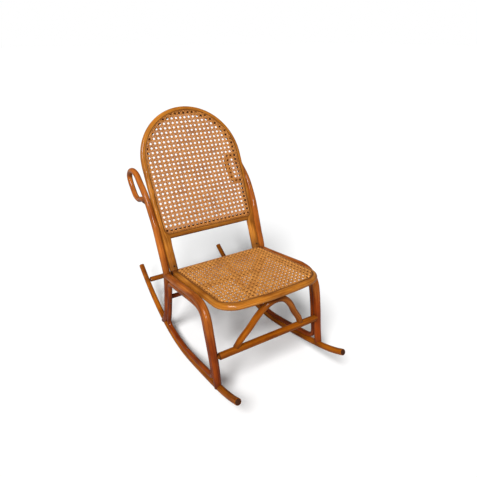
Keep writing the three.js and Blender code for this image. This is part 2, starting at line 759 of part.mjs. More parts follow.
function backRail() {
  const end = hoopHalfSpan(-BACK_RAIL_DROP);
  const top = -BACK_RAIL_DROP + BACK_RAIL_HEIGHT;
  const innerEdge = hoopOuter(top) - HOOP_FOOT_WIDTH - BACK_RAIL_FILLET + OVERRUN;
  const rise = top + BACK_RAIL_FILLET;
  const outline = [
    new THREE.Vector3(-end, -BACK_RAIL_DROP, 0),
    new THREE.Vector3(end, -BACK_RAIL_DROP, 0),
    new THREE.Vector3(end, rise, 0),
    ...arcPoints(innerEdge, rise, BACK_RAIL_FILLET, 0, -90, 4),
    ...arcPoints(-innerEdge, rise, BACK_RAIL_FILLET, -90, -180, 4),
    new THREE.Vector3(-end, rise, 0),
  ];
  const shape = new THREE.Shape(outline.map((point) => new THREE.Vector2(point.x, point.y)));
  const board = new THREE.ExtrudeGeometry(shape, { depth: HOOP_THICKNESS, bevelEnabled: false });
  board.translate(0, 0, -HOOP_THICKNESS);
  const shaped = cut(board, [hoopSolid(CLEARANCE), backGroove()]);
  return join(shaped, [railTenon(-1, 0), railTenon(1, 0)]);
}

function backHoop() {
  const seated = [seatRearRailSolid(CLEARANCE)];
  const tools = [backGroove(), railTenon(-1, CLEARANCE), railTenon(1, CLEARANCE)];
  const hoop = cut(hoopSolid(0), tools).applyMatrix4(backFrameMatrix);
  return cut(hoop, seated);
}

// Rear of the seat frame with the gap round it, which the hoop's feet are notched over

function seatRearRailSolid(spare) {
  const section = seatSection.map(([up, inward]) => {
    const raised = up > -SEAT_THICKNESS / 2 ? up + spare : up - spare;
    return [raised, inward > SEAT_THICKNESS / 2 ? inward + SEAT_RAIL_WIDTH : inward - spare];
  });
  const path = [
    new THREE.Vector3(seatRearHalfWidth + OVERRUN, 0, 0),
    new THREE.Vector3(-seatRearHalfWidth - OVERRUN, 0, 0),
  ];
  return loft(sweepRings(path, Z_AXIS, () => section), false).applyMatrix4(seatFrameMatrix);
}

function backSpline() {
  const halfWidth = GROOVE_WIDTH / 2 - CLEARANCE;
  const outline = backOutline(GROOVE_INSET, GROOVE_CORNER);
  return squareRing(outline, halfWidth, -GROOVE_DEPTH + CLEARANCE, SPLINE_RISE);
}

function backNetHolds(x, y) {
  const inset = caneInset + CANE_BORDER;
  const radius = hoopAxisRadius + HOOP_WIDTH / 2 - inset;
  const low = y < HOOP_SPRING_HEIGHT && x < hoopOuter(y) - inset;
  const high = y >= HOOP_SPRING_HEIGHT && Math.hypot(x, y - HOOP_SPRING_HEIGHT) < radius;
  return y > -BACK_RAIL_DROP + inset && (low || high);
}

function backCane() {
  const outline = backOutline(caneInset, GROOVE_CORNER - GROOVE_WIDTH / 2);
  const rows = Math.ceil((hoopAxisRadius * 3) / NET_PITCH / 2);
  return netSheet(outline, backNetHolds, rows, rows, 0);
}

// Arched brace from the stretcher up to the underside of the seat's front rail

function frontArch() {
  const crownDepth = -SEAT_THICKNESS - ARCH_RADIUS - CLEARANCE;
  const crown = new THREE.Vector3(0, -SEAT_DEPTH + SEAT_RAIL_WIDTH, crownDepth).applyMatrix4(seatFrameMatrix);
  const footUp = stretcherUp + STRETCHER_RADIUS / 2;
  const footAlong = stretcherAlong + ARCH_FOOT_SETBACK;
  const limb = ARCH_SHARES.map(([spanShare, climbShare]) => new THREE.Vector3(
    spanShare * ARCH_FOOT_HALF_SPAN,
    THREE.MathUtils.lerp(footAlong, crown.y, climbShare),
    THREE.MathUtils.lerp(footUp, crown.z, climbShare),
  ));
  const mirrored = limb.map((point) => new THREE.Vector3(-point.x, point.y, point.z)).reverse();
  const path = smoothPath([...limb, crown, ...mirrored], ARCH_STEPS);
  const leaning = new THREE.Vector3(0, crown.z - footUp, footAlong - crown.y).normalize();
  const rings = sweepRings(path, leaning, () => roundOutline(ARCH_RADIUS, ROD_SIDES));
  const stretcherSeat = tenonedBar(
    stretcherAlong, stretcherUp, STRETCHER_RADIUS + CLEARANCE, stretcherShoulder,
    STRETCHER_TENON_RADIUS, stretcherReach,
  );
  return cut(loft(rings, false), [stretcherSeat]);
}

// Materials and assembly

function woodMaterial(colour) {
  return new THREE.MeshStandardMaterial({ color: colour, roughness: 0.38, metalness: 0 });
}

function caneMaterial() {
  return new THREE.MeshStandardMaterial({ color: CANE_TAN, roughness: 0.55, metalness: 0 });
}

function addPiece(group, name, geometry, material) {
  const flat = geometry.index ? geometry.toNonIndexed() : geometry;
  flat.computeVertexNormals();
  const mesh = new THREE.Mesh(flat, material);
  mesh.name = name;
  group.add(mesh);
}

function addSide(group, label, side) {
  addPiece(group, `rocker_${label}`, rocker(side), woodMaterial(WOOD_BROWN));
  addPiece(group, `front_leg_${label}`, frontLeg(side), woodMaterial(WOOD_RED));
  addPiece(group, `rear_post_${label}`, rearPost(side), woodMaterial(WOOD_RED));
  addPiece(group, `side_loop_${label}`, sideLoop(side), woodMaterial(WOOD_RED));
  const dowel = seatDowel(side, 0).applyMatrix4(seatFrameMatrix);
  addPiece(group, `seat_dowel_${label}`, dowel, woodMaterial(WOOD_HONEY));
}

function addSeat(group) {
  addPiece(group, 'seat_frame', seatBend().applyMatrix4(seatFrameMatrix), woodMaterial(WOOD_HONEY));
  addPiece(group, 'seat_rear_rail', seatRearRail().applyMatrix4(seatFrameMatrix), woodMaterial(WOOD_HONEY));
  addPiece(group, 'seat_cane', seatCane().applyMatrix4(seatFrameMatrix), caneMaterial());
  addPiece(group, 'seat_spline', seatSpline().applyMatrix4(seatFrameMatrix), caneMaterial());
}

function addBack(group) {
  addPiece(group, 'back_hoop', backHoop(), woodMaterial(WOOD_HONEY));
  addPiece(group, 'back_lower_rail', backRail().applyMatrix4(backFrameMatrix), woodMaterial(WOOD_HONEY));
  addPiece(group, 'back_cane', backCane().applyMatrix4(backFrameMatrix), caneMaterial());
  addPiece(group, 'back_spline', backSpline().applyMatrix4(backFrameMatrix), caneMaterial());
}

function addCrossPieces(group) {
  addPiece(group, 'front_stretcher', frontStretcher(), woodMaterial(WOOD_BROWN));
  addPiece(group, 'front_arch', frontArch(), woodMaterial(WOOD_BROWN));
  addPiece(group, 'rear_rocker_bar', rearRockerBar(), woodMaterial(WOOD_BROWN));
  addPiece(group, 'rear_post_bar', rearPostBar(), woodMaterial(WOOD_RED));
}

// Stands the chair on the floor with its origin under the middle of its box

function centreOnFloor(group) {
  const box = new THREE.Box3().setFromObject(group);
  const middle = box.getCenter(new THREE.Vector3());
  group.children.forEach((mesh) => mesh.geometry.translate(-middle.x, -middle.y, -box.min.z));
}

function build() {
  const group = new THREE.Group();
  group.name = 'bentwood_rocking_chair';
  addSide(group, 'right', -1);
  addSide(group, 'left', 1);
  addSeat(group);
  addBack(group);
  addCrossPieces(group);
  centreOnFloor(group);
  return group;
}

export default build();
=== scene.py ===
"""Bentwood rocking chair with a caned seat and a caned arched back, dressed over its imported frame.

Metres, Z up. The sitter faces -Y and has the right hand at -X.
"""

import logging
import math
from dataclasses import dataclass, field
from enum import Enum
from typing import Iterable, Iterator, Sequence

import bmesh
import bpy
import numpy as np
from mathutils import Matrix, Vector


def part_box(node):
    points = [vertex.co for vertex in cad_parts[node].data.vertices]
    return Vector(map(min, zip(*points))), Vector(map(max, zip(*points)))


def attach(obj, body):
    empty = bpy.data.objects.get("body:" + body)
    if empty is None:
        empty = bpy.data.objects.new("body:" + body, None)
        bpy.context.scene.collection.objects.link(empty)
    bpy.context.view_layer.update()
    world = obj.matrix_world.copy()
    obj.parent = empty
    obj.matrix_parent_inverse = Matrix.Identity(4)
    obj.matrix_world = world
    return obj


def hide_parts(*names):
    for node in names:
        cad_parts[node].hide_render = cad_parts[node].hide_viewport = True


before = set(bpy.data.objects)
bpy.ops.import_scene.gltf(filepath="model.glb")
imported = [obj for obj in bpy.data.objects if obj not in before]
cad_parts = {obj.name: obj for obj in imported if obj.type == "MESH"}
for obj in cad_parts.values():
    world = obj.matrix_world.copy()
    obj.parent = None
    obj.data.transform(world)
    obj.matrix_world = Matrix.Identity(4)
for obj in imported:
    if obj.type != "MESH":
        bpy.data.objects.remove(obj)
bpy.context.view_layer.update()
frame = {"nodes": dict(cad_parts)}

LOG = logging.getLogger("rocking_chair")
X_AXIS = np.array((1.0, 0.0, 0.0))
Z_AXIS = np.array((0.0, 0.0, 1.0))
WHITE = (1.0, 1.0, 1.0)
SAWN_FACE_CORNERS = 8
EASE_MIDDLE = 0.3
HAIR = 1e-5
# Reach of the painted shade on the wood under the cane web: this far outside the groove's middle, and no
# deeper than this below the panel's face.
PANEL_WALL = 0.0025
PANEL_FLOOR = -0.0236
Piece = bpy.types.Object
Material = bpy.types.Material
Socket = bpy.types.NodeSocket
Pair = tuple[float, float]
Triple = tuple[float, float, float]
Colour = Triple
Shares = tuple[tuple[float, ...], ...]
Mark = tuple[Sequence[float], float, float]


class Side(Enum):
    """The two sides of the chair, as the sitter has them."""

    RIGHT = -1
    LEFT = 1

    @property
    def label(self) -> str:
        """The side's name as the nodes have it."""
        return self.name.lower()


class Slot(Enum):
    """Material slots of the record."""

    ROCKER = "rocker_wood"
    FRAME = "frame_wood"
    HONEY = "honey_wood"
    CANE = "cane"


@dataclass(frozen=True)
class ChairPlan:
    """Sizes that every part of the chair shares.

    The gap is the clearance between pieces that touch. The stretcher's place is given in shares of the half
    length and of the height.
    """

    half_length: float = 0.468
    half_width: float = 0.25
    height: float = 0.924
    gap: float = 0.0004
    stretcher_along: float = -0.6755
    stretcher_up: float = 0.2087

    @property
    def shift(self) -> float:
        """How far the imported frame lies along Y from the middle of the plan."""
        low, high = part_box("front_stretcher")
        return (low[1] + high[1]) / 2 - self.stretcher_along * self.half_length

    def place(self, shares: Sequence[float], side: Side) -> Triple:
        """Place of a point that is given in shares of the half width, half length and height."""
        across, along, up = shares
        return side.value * across * self.half_width, along * self.half_length, up * self.height


Marks = dict[Side, list[Mark]]
PLAN = ChairPlan()
SHIFT = PLAN.shift


def unit(vectors: np.ndarray) -> np.ndarray:
    """The same vectors at length one."""
    return vectors / np.linalg.norm(vectors, axis=-1, keepdims=True)


def run_lengths(path: np.ndarray) -> np.ndarray:
    """Distance along a path at each of its points."""
    return np.concatenate([[0.0], np.cumsum(np.linalg.norm(np.diff(path, axis=0), axis=1))])


def evenly(path: np.ndarray, steps: int) -> np.ndarray:
    """The same path at even spacing.

    Args:
        path: Points of the path.
        steps: Number of even steps along it.

    Returns:
        The points, one more than the steps.
    """
    lengths = run_lengths(path)
    marks = np.linspace(0.0, lengths[-1], steps + 1)
    return np.stack([np.interp(marks, lengths, path[:, axis]) for axis in range(3)], axis=1)


def smooth_path(controls: Iterable[Sequence[float]], steps: int, between: int = 24) -> np.ndarray:
    """Steam-bent centre line through the control points.

    Args:
        controls: Points that the rod passes through.
        steps: Number of even steps along it.
        between: Points worked out from one control point to the next, before they are spaced evenly.

    Returns:
        The points of the centre line.
    """
    inner = np.array(list(controls), dtype=float)
    points = np.vstack([2 * inner[0] - inner[1], inner, 2 * inner[-1] - inner[-2]])
    share = np.linspace(0.0, 1.0, between, endpoint=False)[:, None]
    runs = []
    for before, start, end, after in zip(points, points[1:], points[2:], points[3:]):
        stretches = ((before, start), (start, end), (end, after))
        lead, span, tail = (math.sqrt(np.linalg.norm(far - near)) for near, far in stretches)
        leave = ((start - before) / lead - (end - before) / (lead + span) + (end - start) / span) * span
        reach = ((end - start) / span - (after - start) / (span + tail) + (after - end) / tail) * span
        cubic = 2 * start - 2 * end + leave + reach
        square = -3 * start + 3 * end - 2 * leave - reach
        runs.append(start + share * (leave + share * (square + share * cubic)))
    return evenly(np.vstack([*runs, inner[-1:]]), steps)


def directions(path: np.ndarray, closed: bool = False) -> np.ndarray:
    """Direction of a path at each of its points.

    Args:
        path: Points of the path.
        closed: Whether the path is a ring.

    Returns:
        One direction of length one for each point.
    """
    if closed:
        return unit(np.roll(path, -1, axis=0) - np.roll(path, 1, axis=0))
    ends = np.vstack([path[:1], path, path[-1:]])
    return unit(ends[2:] - ends[:-2])


def section_axes(
    path: np.ndarray, flat_axis: np.ndarray, closed: bool = False
) -> tuple[np.ndarray, np.ndarray]:
    """Axes of the sections along a path.

    Args:
        path: Points of the path.
        flat_axis: Direction that stays square to the bend.
        closed: Whether the path is a ring.

    Returns:
        The axis along the flat axis, and the axis in the plane of the bend.
    """
    ways = directions(path, closed)
    inward = unit(np.cross(flat_axis, ways))
    return np.cross(ways, inward), inward


def sweep(path: np.ndarray, flat_axis: np.ndarray, sections: np.ndarray, closed: bool = False) -> np.ndarray:
    """Rings of a section carried along a path.

    Args:
        path: Points of the path.
        flat_axis: Direction that stays square to the bend.
        sections: One section for all points, or one for each, as pairs of distances.
        closed: Whether the path is a ring.

    Returns:
        An array of rings of points.
    """
    lateral, inward = section_axes(path, flat_axis, closed)
    each = np.broadcast_to(sections, (len(path), *sections.shape[-2:]))
    return path[:, None] + each[..., :1] * lateral[:, None] + each[..., 1:] * inward[:, None]


def circle(sides: int) -> np.ndarray:
    """Section of a round rod of radius one."""
    angles = (np.arange(sides) + 0.5) * 2 * math.pi / sides
    return np.stack([np.cos(angles), np.sin(angles)], axis=1)


def eased(outline: Sequence[Sequence[float]], rounds: int = 2, pared: float = 0.2) -> np.ndarray:
    """The same section with its corners worn round.

    Args:
        outline: Corners of the section.
        rounds: How often the corners are pared.
        pared: Share of each side that is pared off at either end.

    Returns:
        The points of the rounder section.
    """
    points = np.array(outline, dtype=float)
    for _ in range(rounds):
        following = np.roll(points, -1, axis=0)
        near = (1 - pared) * points + pared * following
        far = pared * points + (1 - pared) * following
        points = np.stack([near, far], axis=1).reshape(-1, 2)
    return points


def arc(centre: Sequence[float], radius: float, start: float, end: float, steps: int) -> np.ndarray:
    """Points of an arc in plan.

    Args:
        centre: Its centre, of which the first two values count.
        radius: Its radius.
        start: Angle where it starts, in degrees.
        end: Angle where it ends, in degrees.
        steps: Number of even steps along it.

    Returns:
        The points of the arc.
    """
    angles = np.radians(np.linspace(start, end, steps + 1))
    ring = np.stack([np.cos(angles), np.sin(angles), np.zeros_like(angles)], axis=1)
    return np.array((centre[0], centre[1], 0.0)) + radius * ring


def crossing(run: np.ndarray, axis: int, value: float) -> tuple[int, np.ndarray]:
    """Where a run first passes a value on one axis.

    Args:
        run: Points of the run.
        axis: 0, 1 or 2.
        value: The value to pass.

    Returns:
        The index of the next point, and the place itself.
    """
    offsets = run[:, axis] - value
    index = int(np.flatnonzero(offsets[:-1] * offsets[1:] <= 0)[0]) + 1
    share = offsets[index - 1] / (offsets[index - 1] - offsets[index])
    return index, run[index - 1] + share * (run[index] - run[index - 1])


def stretch(run: np.ndarray, start: tuple[int, float], end: tuple[int, float]) -> np.ndarray:
    """Part of a run between two crossings.

    Args:
        run: Points of the run.
        start: Axis and value where the part starts.
        end: Axis and value where it ends.

    Returns:
        The points of the part.
    """
    first, first_point = crossing(run, *start)
    last, last_point = crossing(run, *end)
    return np.vstack([first_point, run[first:last], last_point])


def lay_by_hand(*chosen: Piece) -> None:
    """Leaves only the given pieces selected, the last one active.

    Args:
        chosen: The pieces, or none.
    """
    if bpy.context.object and bpy.context.object.mode != "OBJECT":
        bpy.ops.object.mode_set(mode="OBJECT")
    bpy.ops.object.select_all(action="DESELECT")
    for piece in chosen:
        piece.select_set(True)
        bpy.context.view_layer.objects.active = piece


def point_outwards(piece: Piece) -> None:
    """Turns all faces of a closed piece outwards.

    Args:
        piece: The piece.
    """
    lay_by_hand(piece)
    bpy.ops.object.mode_set(mode="EDIT")
    bpy.ops.mesh.select_all(action="SELECT")
    bpy.ops.mesh.normals_make_consistent(inside=False)
    bpy.ops.object.mode_set(mode="OBJECT")


def extrude_rings(name: str, rings: np.ndarray, closed: bool = False) -> Piece:
    """Extrudes a first section ring by ring into a bent piece.

    Args:
        name: Name of the piece.
        rings: Rings of points along the piece.
        closed: Whether the last ring is joined to the first one.

    Returns:
        The closed piece, with its faces outwards.
    """
    lay_by_hand()
    fill = "NOTHING" if closed else "NGON"
    bpy.ops.mesh.primitive_circle_add(
        vertices=rings.shape[1], radius=1.0, fill_type=fill, enter_editmode=True
    )
    piece = bpy.context.object
    piece.name = piece.data.name = name
    corners = list(bmesh.from_edit_mesh(piece.data).verts)
    for corner, target in zip(corners, rings[0]):
        corner.co = target
    for last, ring in zip(rings, rings[1:]):
        bpy.ops.mesh.extrude_region_move()
        for corner in [vert for vert in bmesh.from_edit_mesh(piece.data).verts if vert.select]:
            nearest = int(np.argmin(np.linalg.norm(last - np.array(corner.co), axis=1)))
            corner.co = ring[nearest]
    if closed:
        bpy.ops.mesh.select_all(action="DESELECT")
        bpy.ops.mesh.select_mode(type="EDGE")
        bpy.ops.mesh.select_non_manifold()
        bpy.ops.mesh.bridge_edge_loops()
    point_outwards(piece)
    return piece


def trim_end(piece: Piece, point: Sequence[float], outward: Sequence[float]) -> None:
    """Saws off what lies beyond a plane and closes the cut.

    Args:
        piece: The piece to cut.
        point: A point of the cut.
        outward: Direction of the waste.
    """
    lay_by_hand(piece)
    bpy.ops.object.mode_set(mode="EDIT")
    bpy.ops.mesh.select_all(action="SELECT")
    bpy.ops.mesh.bisect(plane_co=tuple(point), plane_no=tuple(outward), use_fill=True, clear_outer=True)
    bpy.ops.object.mode_set(mode="OBJECT")


def cut_away(piece: Piece, cutter: Piece) -> None:
    """Cuts one shape out of a piece and clears the cutter away.

    Args:
        piece: The piece to cut.
        cutter: The shape to cut out of it.
    """
    lay_by_hand(piece)
    bpy.ops.object.modifier_add(type="BOOLEAN")
    saw = piece.modifiers[-1]
    saw.operation = "DIFFERENCE"
    saw.solver = "EXACT"
    saw.object = cutter
    bpy.ops.object.modifier_apply(modifier=saw.name)
    lay_by_hand(cutter)
    bpy.ops.object.delete()


def put_in_place(piece: Piece, place: Matrix) -> None:
    """Moves a piece to its place, which is kept in its mesh.

    Args:
        piece: The piece, in a plane or plan of its own.
        place: Where that plane or plan lies.
    """
    lay_by_hand(piece)
    piece.matrix_world = place
    bpy.ops.object.transform_apply(location=True, rotation=True, scale=True)


def write_values(piece: Piece, name: str, values: np.ndarray) -> None:
    """Stores one value or vector for each point of a piece.

    Args:
        piece: The piece.
        name: Name of the attribute.
        values: One value or one row for each point.
    """
    kind, member = ("FLOAT_VECTOR", "vector") if values.ndim > 1 else ("FLOAT", "value")
    layer = piece.data.attributes.new(name, kind, "POINT")
    layer.data.foreach_set(member, values.astype(np.float32).ravel())


def points_of(piece: Piece) -> np.ndarray:
    """All points of a piece's mesh.

    Args:
        piece: The piece.

    Returns:
        One row for each point.
    """
    points = np.empty(len(piece.data.vertices) * 3, dtype=np.float32)
    piece.data.vertices.foreach_get("co", points)
    return points.reshape(-1, 3).astype(float)


def stick_start(name: str, starts: int = 97, apart: float = 0.37) -> float:
    """Where a piece starts in the wood, worked out from its name so that the pieces' grain differs."""
    return (sum(map(ord, name)) % starts) * apart


def write_grain(
    piece: Piece, path: np.ndarray, flat_axis: np.ndarray, closed: bool = False, batch: int = 2000
) -> None:
    """Stores where each point lay in the straight stick, before it was bent.

    Args:
        piece: The bent piece.
        path: Its centre line.
        flat_axis: Direction that stays square to the bend.
        closed: Whether the centre line is a ring.
        batch: About how many points are measured at a time.
    """
    lateral, inward = section_axes(path, flat_axis, closed)
    ways = directions(path, closed)
    lengths = run_lengths(path)
    points = points_of(piece)
    nearest = np.concatenate([
        np.argmin(np.linalg.norm(block[:, None] - path[None], axis=2), axis=1)
        for block in np.array_split(points, max(1, len(points) // batch))
    ])
    offsets = points - path[nearest]
    along = lengths[nearest] + np.sum(offsets * ways[nearest], axis=1)
    stick = np.stack([
        np.sum(offsets * lateral[nearest], axis=1),
        np.sum(offsets * inward[nearest], axis=1),
        along + stick_start(piece.name),
    ], axis=1)
    write_values(piece, "grain", stick)


def write_grime(piece: Piece, marks: Iterable[Mark], web: np.ndarray | None = None) -> None:
    """Stores how much dirt and dark varnish has gathered near the joints, and the painted shade on the wood
    under the cane web.

    Args:
        piece: The piece.
        marks: Place, reach and strength of each dark patch.
        web: Outline of the groove's middle, if the wood inside the groove's outer wall gets painted
        shade all over, except for its underside.
    """
    points = points_of(piece)
    grime = np.zeros(len(points))
    if web is not None:
        edges = np.roll(web, -1, axis=0) - web
        normals = unit(np.stack([edges[:, 1], -edges[:, 0]], axis=1))
        depth = np.max(np.sum((points[:, None, :2] - web[None, :, :2]) * normals[None], axis=2), axis=1)
        # Painted shade on the wood under the cane web, except its underside.
        grime[(depth < PANEL_WALL) & (points[:, 2] > PANEL_FLOOR)] = 1.0
    # Dirt and dark varnish gathered at the joints.
    for centre, reach, strength in marks:
        distance = np.linalg.norm(points - np.array(centre), axis=1)
        grime = np.maximum(grime, strength * np.exp(-((distance / reach) ** 2)))
    write_values(piece, "grime", grime)


def dress(
    piece: Piece, slot: Slot, nodes: Sequence[str], finishes: Sequence[Material], angle: float = 40.0
) -> None:
    """Gives a finished piece its materials and its place in the frame.

    Args:
        piece: The piece, in the chair's own plan.
        slot: The record's slot for the piece's finish; not used.
        nodes: The CAD nodes that it stands for.
        finishes: Material of the sides, and of the sawn ends if it has any.
        angle: Edges sharper than this many degrees stay crisp.
    """
    for finish in finishes:
        piece.data.materials.append(finish)
    if len(finishes) > 1:
        for face in piece.data.polygons:
            face.material_index = 1 if len(face.vertices) > SAWN_FACE_CORNERS else 0
    put_in_place(piece, Matrix.Translation((0.0, SHIFT, 0.0)))
    lay_by_hand(piece)
    bpy.ops.object.shade_smooth_by_angle(angle=math.radians(angle))
    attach(piece, "root")
    if nodes:
        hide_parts(*nodes)
    LOG.info("%s: %d faces", piece.name, len(piece.data.polygons))


class NodeBench:
    """Short hand for wiring one material's nodes."""

    def __init__(self, name: str) -> None:
        """Starts a material with its Principled shader.

        Args:
            name: Name of the material.
        """
        self.material = bpy.data.materials.new(name)
        self.material.use_nodes = True
        self.tree = self.material.node_tree
        self.shader = self.tree.nodes["Principled BSDF"]

    def node(self, kind: str, values: dict[str, object] | None = None, **settings: object) -> bpy.types.Node:
        """Adds a node.

        Args:
            kind: Its type, without the words ShaderNode.
            values: Values of its inputs by name.
            settings: Its settings by name.

        Returns:
            The node.
        """
        made = self.tree.nodes.new(f"ShaderNode{kind}")
        for key, value in settings.items():
            setattr(made, key, value)
        for key, value in (values or {}).items():
            made.inputs[key].default_value = value
        return made

    def wire(self, source: Socket, target: Socket) -> None:
        """Joins an output to an input."""
        self.tree.links.new(source, target)

    def feed(self, source: Socket, setting: str) -> None:
        """Lets an output drive one of the shader's settings."""
        self.wire(source, self.shader.inputs[setting])

    def fix(self, setting: str, value: float | Sequence[float]) -> None:
        """Gives one of the shader's settings a fixed value."""
        self.shader.inputs[setting].default_value = value

    def attribute(self, name: str, output: str) -> Socket:
        """Reads a value that is stored on the piece."""
        return self.node("Attribute", attribute_name=name).outputs[output]

    def scaled(self, source: Socket, scale: Sequence[float]) -> Socket:
        """Stretches coordinates.

        Args:
            source: The coordinates.
            scale: Their scale on each axis, where a larger one makes a finer pattern.

        Returns:
            The stretched coordinates.
        """
        mapping = self.node("Mapping", {"Scale": scale})
        self.wire(source, mapping.inputs["Vector"])
        return mapping.outputs["Vector"]

    def noise(self, source: Socket, detail: float, roughness: float = 0.55) -> Socket:
        """Noise on the given coordinates.

        Args:
            source: The coordinates.
            detail: Number of finer layers.
            roughness: Strength of the finer layers.

        Returns:
            The noise, about 0 to 1.
        """
        made = self.node("TexNoise", {"Scale": 1.0, "Detail": detail, "Roughness": roughness})
        self.wire(source, made.inputs["Vector"])
        return made.outputs["Fac"]

    def ramp(self, source: Socket, stops: Sequence[tuple[float, Sequence[float]]]) -> Socket:
        """Colours picked by a value.

        Args:
            source: The value.
            stops: Values with the colour of each.

        Returns:
            The colour.
        """
        made = self.node("ValToRGB")
        elements = made.color_ramp.elements
        while len(elements) < len(stops):
            elements.new(0.5)
        for element, (position, colour) in zip(elements, stops):
            element.position = position
            element.color = (*colour, 1.0)
        self.wire(source, made.inputs["Fac"])
        return made.outputs["Color"]

    def spread(self, source: Socket, taken: Pair, given: Pair) -> Socket:
        """Moves a value from one range to another.

        Args:
            source: The value.
            taken: The range that it comes from.
            given: The range that it goes to.

        Returns:
            The value in the other range.
        """
        ranges = dict(zip(("From Min", "From Max", "To Min", "To Max"), (*taken, *given)))
        made = self.node("MapRange", ranges)
        self.wire(source, made.inputs["Value"])
        return made.outputs["Result"]

    def maths(self, operation: str, first: Socket, second: Socket) -> Socket:
        """Puts two values together.

        Args:
            operation: Blender's name for what is done with them.
            first: The first value.
            second: The second value.

        Returns:
            The result.
        """
        made = self.node("Math", operation=operation)
        self.wire(first, made.inputs[0])
        self.wire(second, made.inputs[1])
        return made.outputs["Value"]

    def blend(
        self, share: Socket | float, first: Socket, second: Socket | Colour, mode: str = "MIX"
    ) -> Socket:
        """Lays one colour over another.

        Args:
            share: How much of the second colour shows.
            first: The colour below.
            second: The colour on top.
            mode: Blender's name for how they are mixed.

        Returns:
            The mixed colour.
        """
        made = self.node("Mix", data_type="RGBA", blend_type=mode)
        if isinstance(share, float):
            made.inputs["Factor"].default_value = share
        else:
            self.wire(share, made.inputs["Factor"])
        self.wire(first, made.inputs["A"])
        if isinstance(second, tuple):
            made.inputs["B"].default_value = (*second, 1.0)
        else:
            self.wire(second, made.inputs["B"])
        return made.outputs["Result"]

    def relief(self, height: Socket, distance: float, strength: float) -> None:
        """Gives the surface a fine relief.

        Args:
            height: The height of the relief, 0 to 1.
            distance: The real height of 1.
            strength: How strongly it shows.
        """
        bump = self.node("Bump", {"Distance": distance, "Strength": strength})
        self.wire(height, bump.inputs["Height"])
        self.wire(bump.outputs["Normal"], self.shader.inputs["Normal"])


@dataclass(frozen=True)
class VarnishedBeech:
    """Steam-bent beech under stained varnish, with its grain along the stick.

    The scales of streaks, patches and flecks are given twice across the stick and once along it.
    """

    name: str
    pale: Colour
    middle: Colour
    deep: Colour
    # Colour of the joints' dirt and of the painted shade under the cane web.
    grime: Colour = (0.030, 0.007, 0.003)
    coat: float = 0.24
    dark_feet: bool = False
    streak_scale: Triple = (190.0, 190.0, 7.0)
    patch_scale: Triple = (28.0, 28.0, 11.0)
    fleck_scale: Triple = (1300.0, 1300.0, 90.0)
    scuff_scale: Triple = (60.0, 60.0, 60.0)
    dark_stain: Colour = (0.66, 0.56, 0.48)
    pale_stain: Colour = (1.2, 1.18, 1.14)
    # Darkening towards the floor, by height: its colour, the heights where it fades out, and its wavering
    # edge.
    foot_stain: Colour = (0.58, 0.34, 0.05)
    foot_stain_heights: Pair = (0.25, 0.335)
    foot_stain_waver: float = 0.04

    def stain_feet(self, bench: NodeBench, wood: Socket, place: Socket, patches: Socket) -> Socket:
        """Darkens the wood from the floor up to the given heights.

        Args:
            bench: The material's bench.
            wood: The wood's colour.
            place: Place on the chair.
            patches: Noise that makes the edge of the darkening waver.

        Returns:
            The darkened colour.
        """
        parts = bench.node("SeparateXYZ")
        bench.wire(place, parts.inputs["Vector"])
        waver = bench.spread(patches, (0.0, 1.0), (-self.foot_stain_waver, self.foot_stain_waver))
        height = bench.maths("ADD", parts.outputs["Z"], waver)
        share = bench.spread(height, self.foot_stain_heights, (1.0, 0.0))
        return bench.blend(share, wood, self.foot_stain, "MULTIPLY")

    def make(self) -> Material:
        """Makes the material.

        Returns:
            The finished material.
        """
        bench = NodeBench(self.name)
        grain = bench.attribute("grain", "Vector")
        streaks = bench.noise(bench.scaled(grain, self.streak_scale), 6.0, 0.62)
        wood = bench.ramp(streaks, [(0.24, self.deep), (0.5, self.middle), (0.76, self.pale)])
        patches = bench.noise(bench.scaled(grain, self.patch_scale), 3.0)
        stain = bench.ramp(patches, [(0.32, self.dark_stain), (0.5, WHITE), (0.7, self.pale_stain)])
        wood = bench.blend(1.0, wood, stain, "MULTIPLY")
        flecks = bench.noise(bench.scaled(grain, self.fleck_scale), 2.0)
        fleck_share = bench.spread(flecks, (0.6, 0.72), (0.0, 0.5))
        wood = bench.blend(fleck_share, wood, self.deep)
        place = bench.node("TexCoord").outputs["Object"]
        scuffs = bench.noise(bench.scaled(place, self.scuff_scale), 4.0, 0.7)
        scuff_share = bench.spread(scuffs, (0.66, 0.76), (0.0, 0.4))
        wood = bench.blend(scuff_share, wood, self.pale)
        # Darker towards the floor, by height alone.
        if self.dark_feet:
            wood = self.stain_feet(bench, wood, place, patches)
        # Joints' dirt and painted shade under the cane web, a little uneven with the scuff noise.
        dirt = bench.attribute("grime", "Fac")
        dirt_and_shade_share = bench.maths("MULTIPLY", dirt, bench.spread(scuffs, (0.3, 0.55), (0.82, 1.0)))
        wood = bench.blend(dirt_and_shade_share, wood, self.grime)
        bench.feed(wood, "Base Color")
        bench.feed(bench.spread(scuffs, (0.35, 0.75), (0.3, 0.52)), "Roughness")
        bench.fix("Specular IOR Level", 0.06)
        bench.fix("Coat Weight", self.coat)
        bench.fix("Coat Roughness", 0.09)
        bench.relief(bench.maths("ADD", streaks, fleck_share), 0.0004, 0.22)
        return bench.material


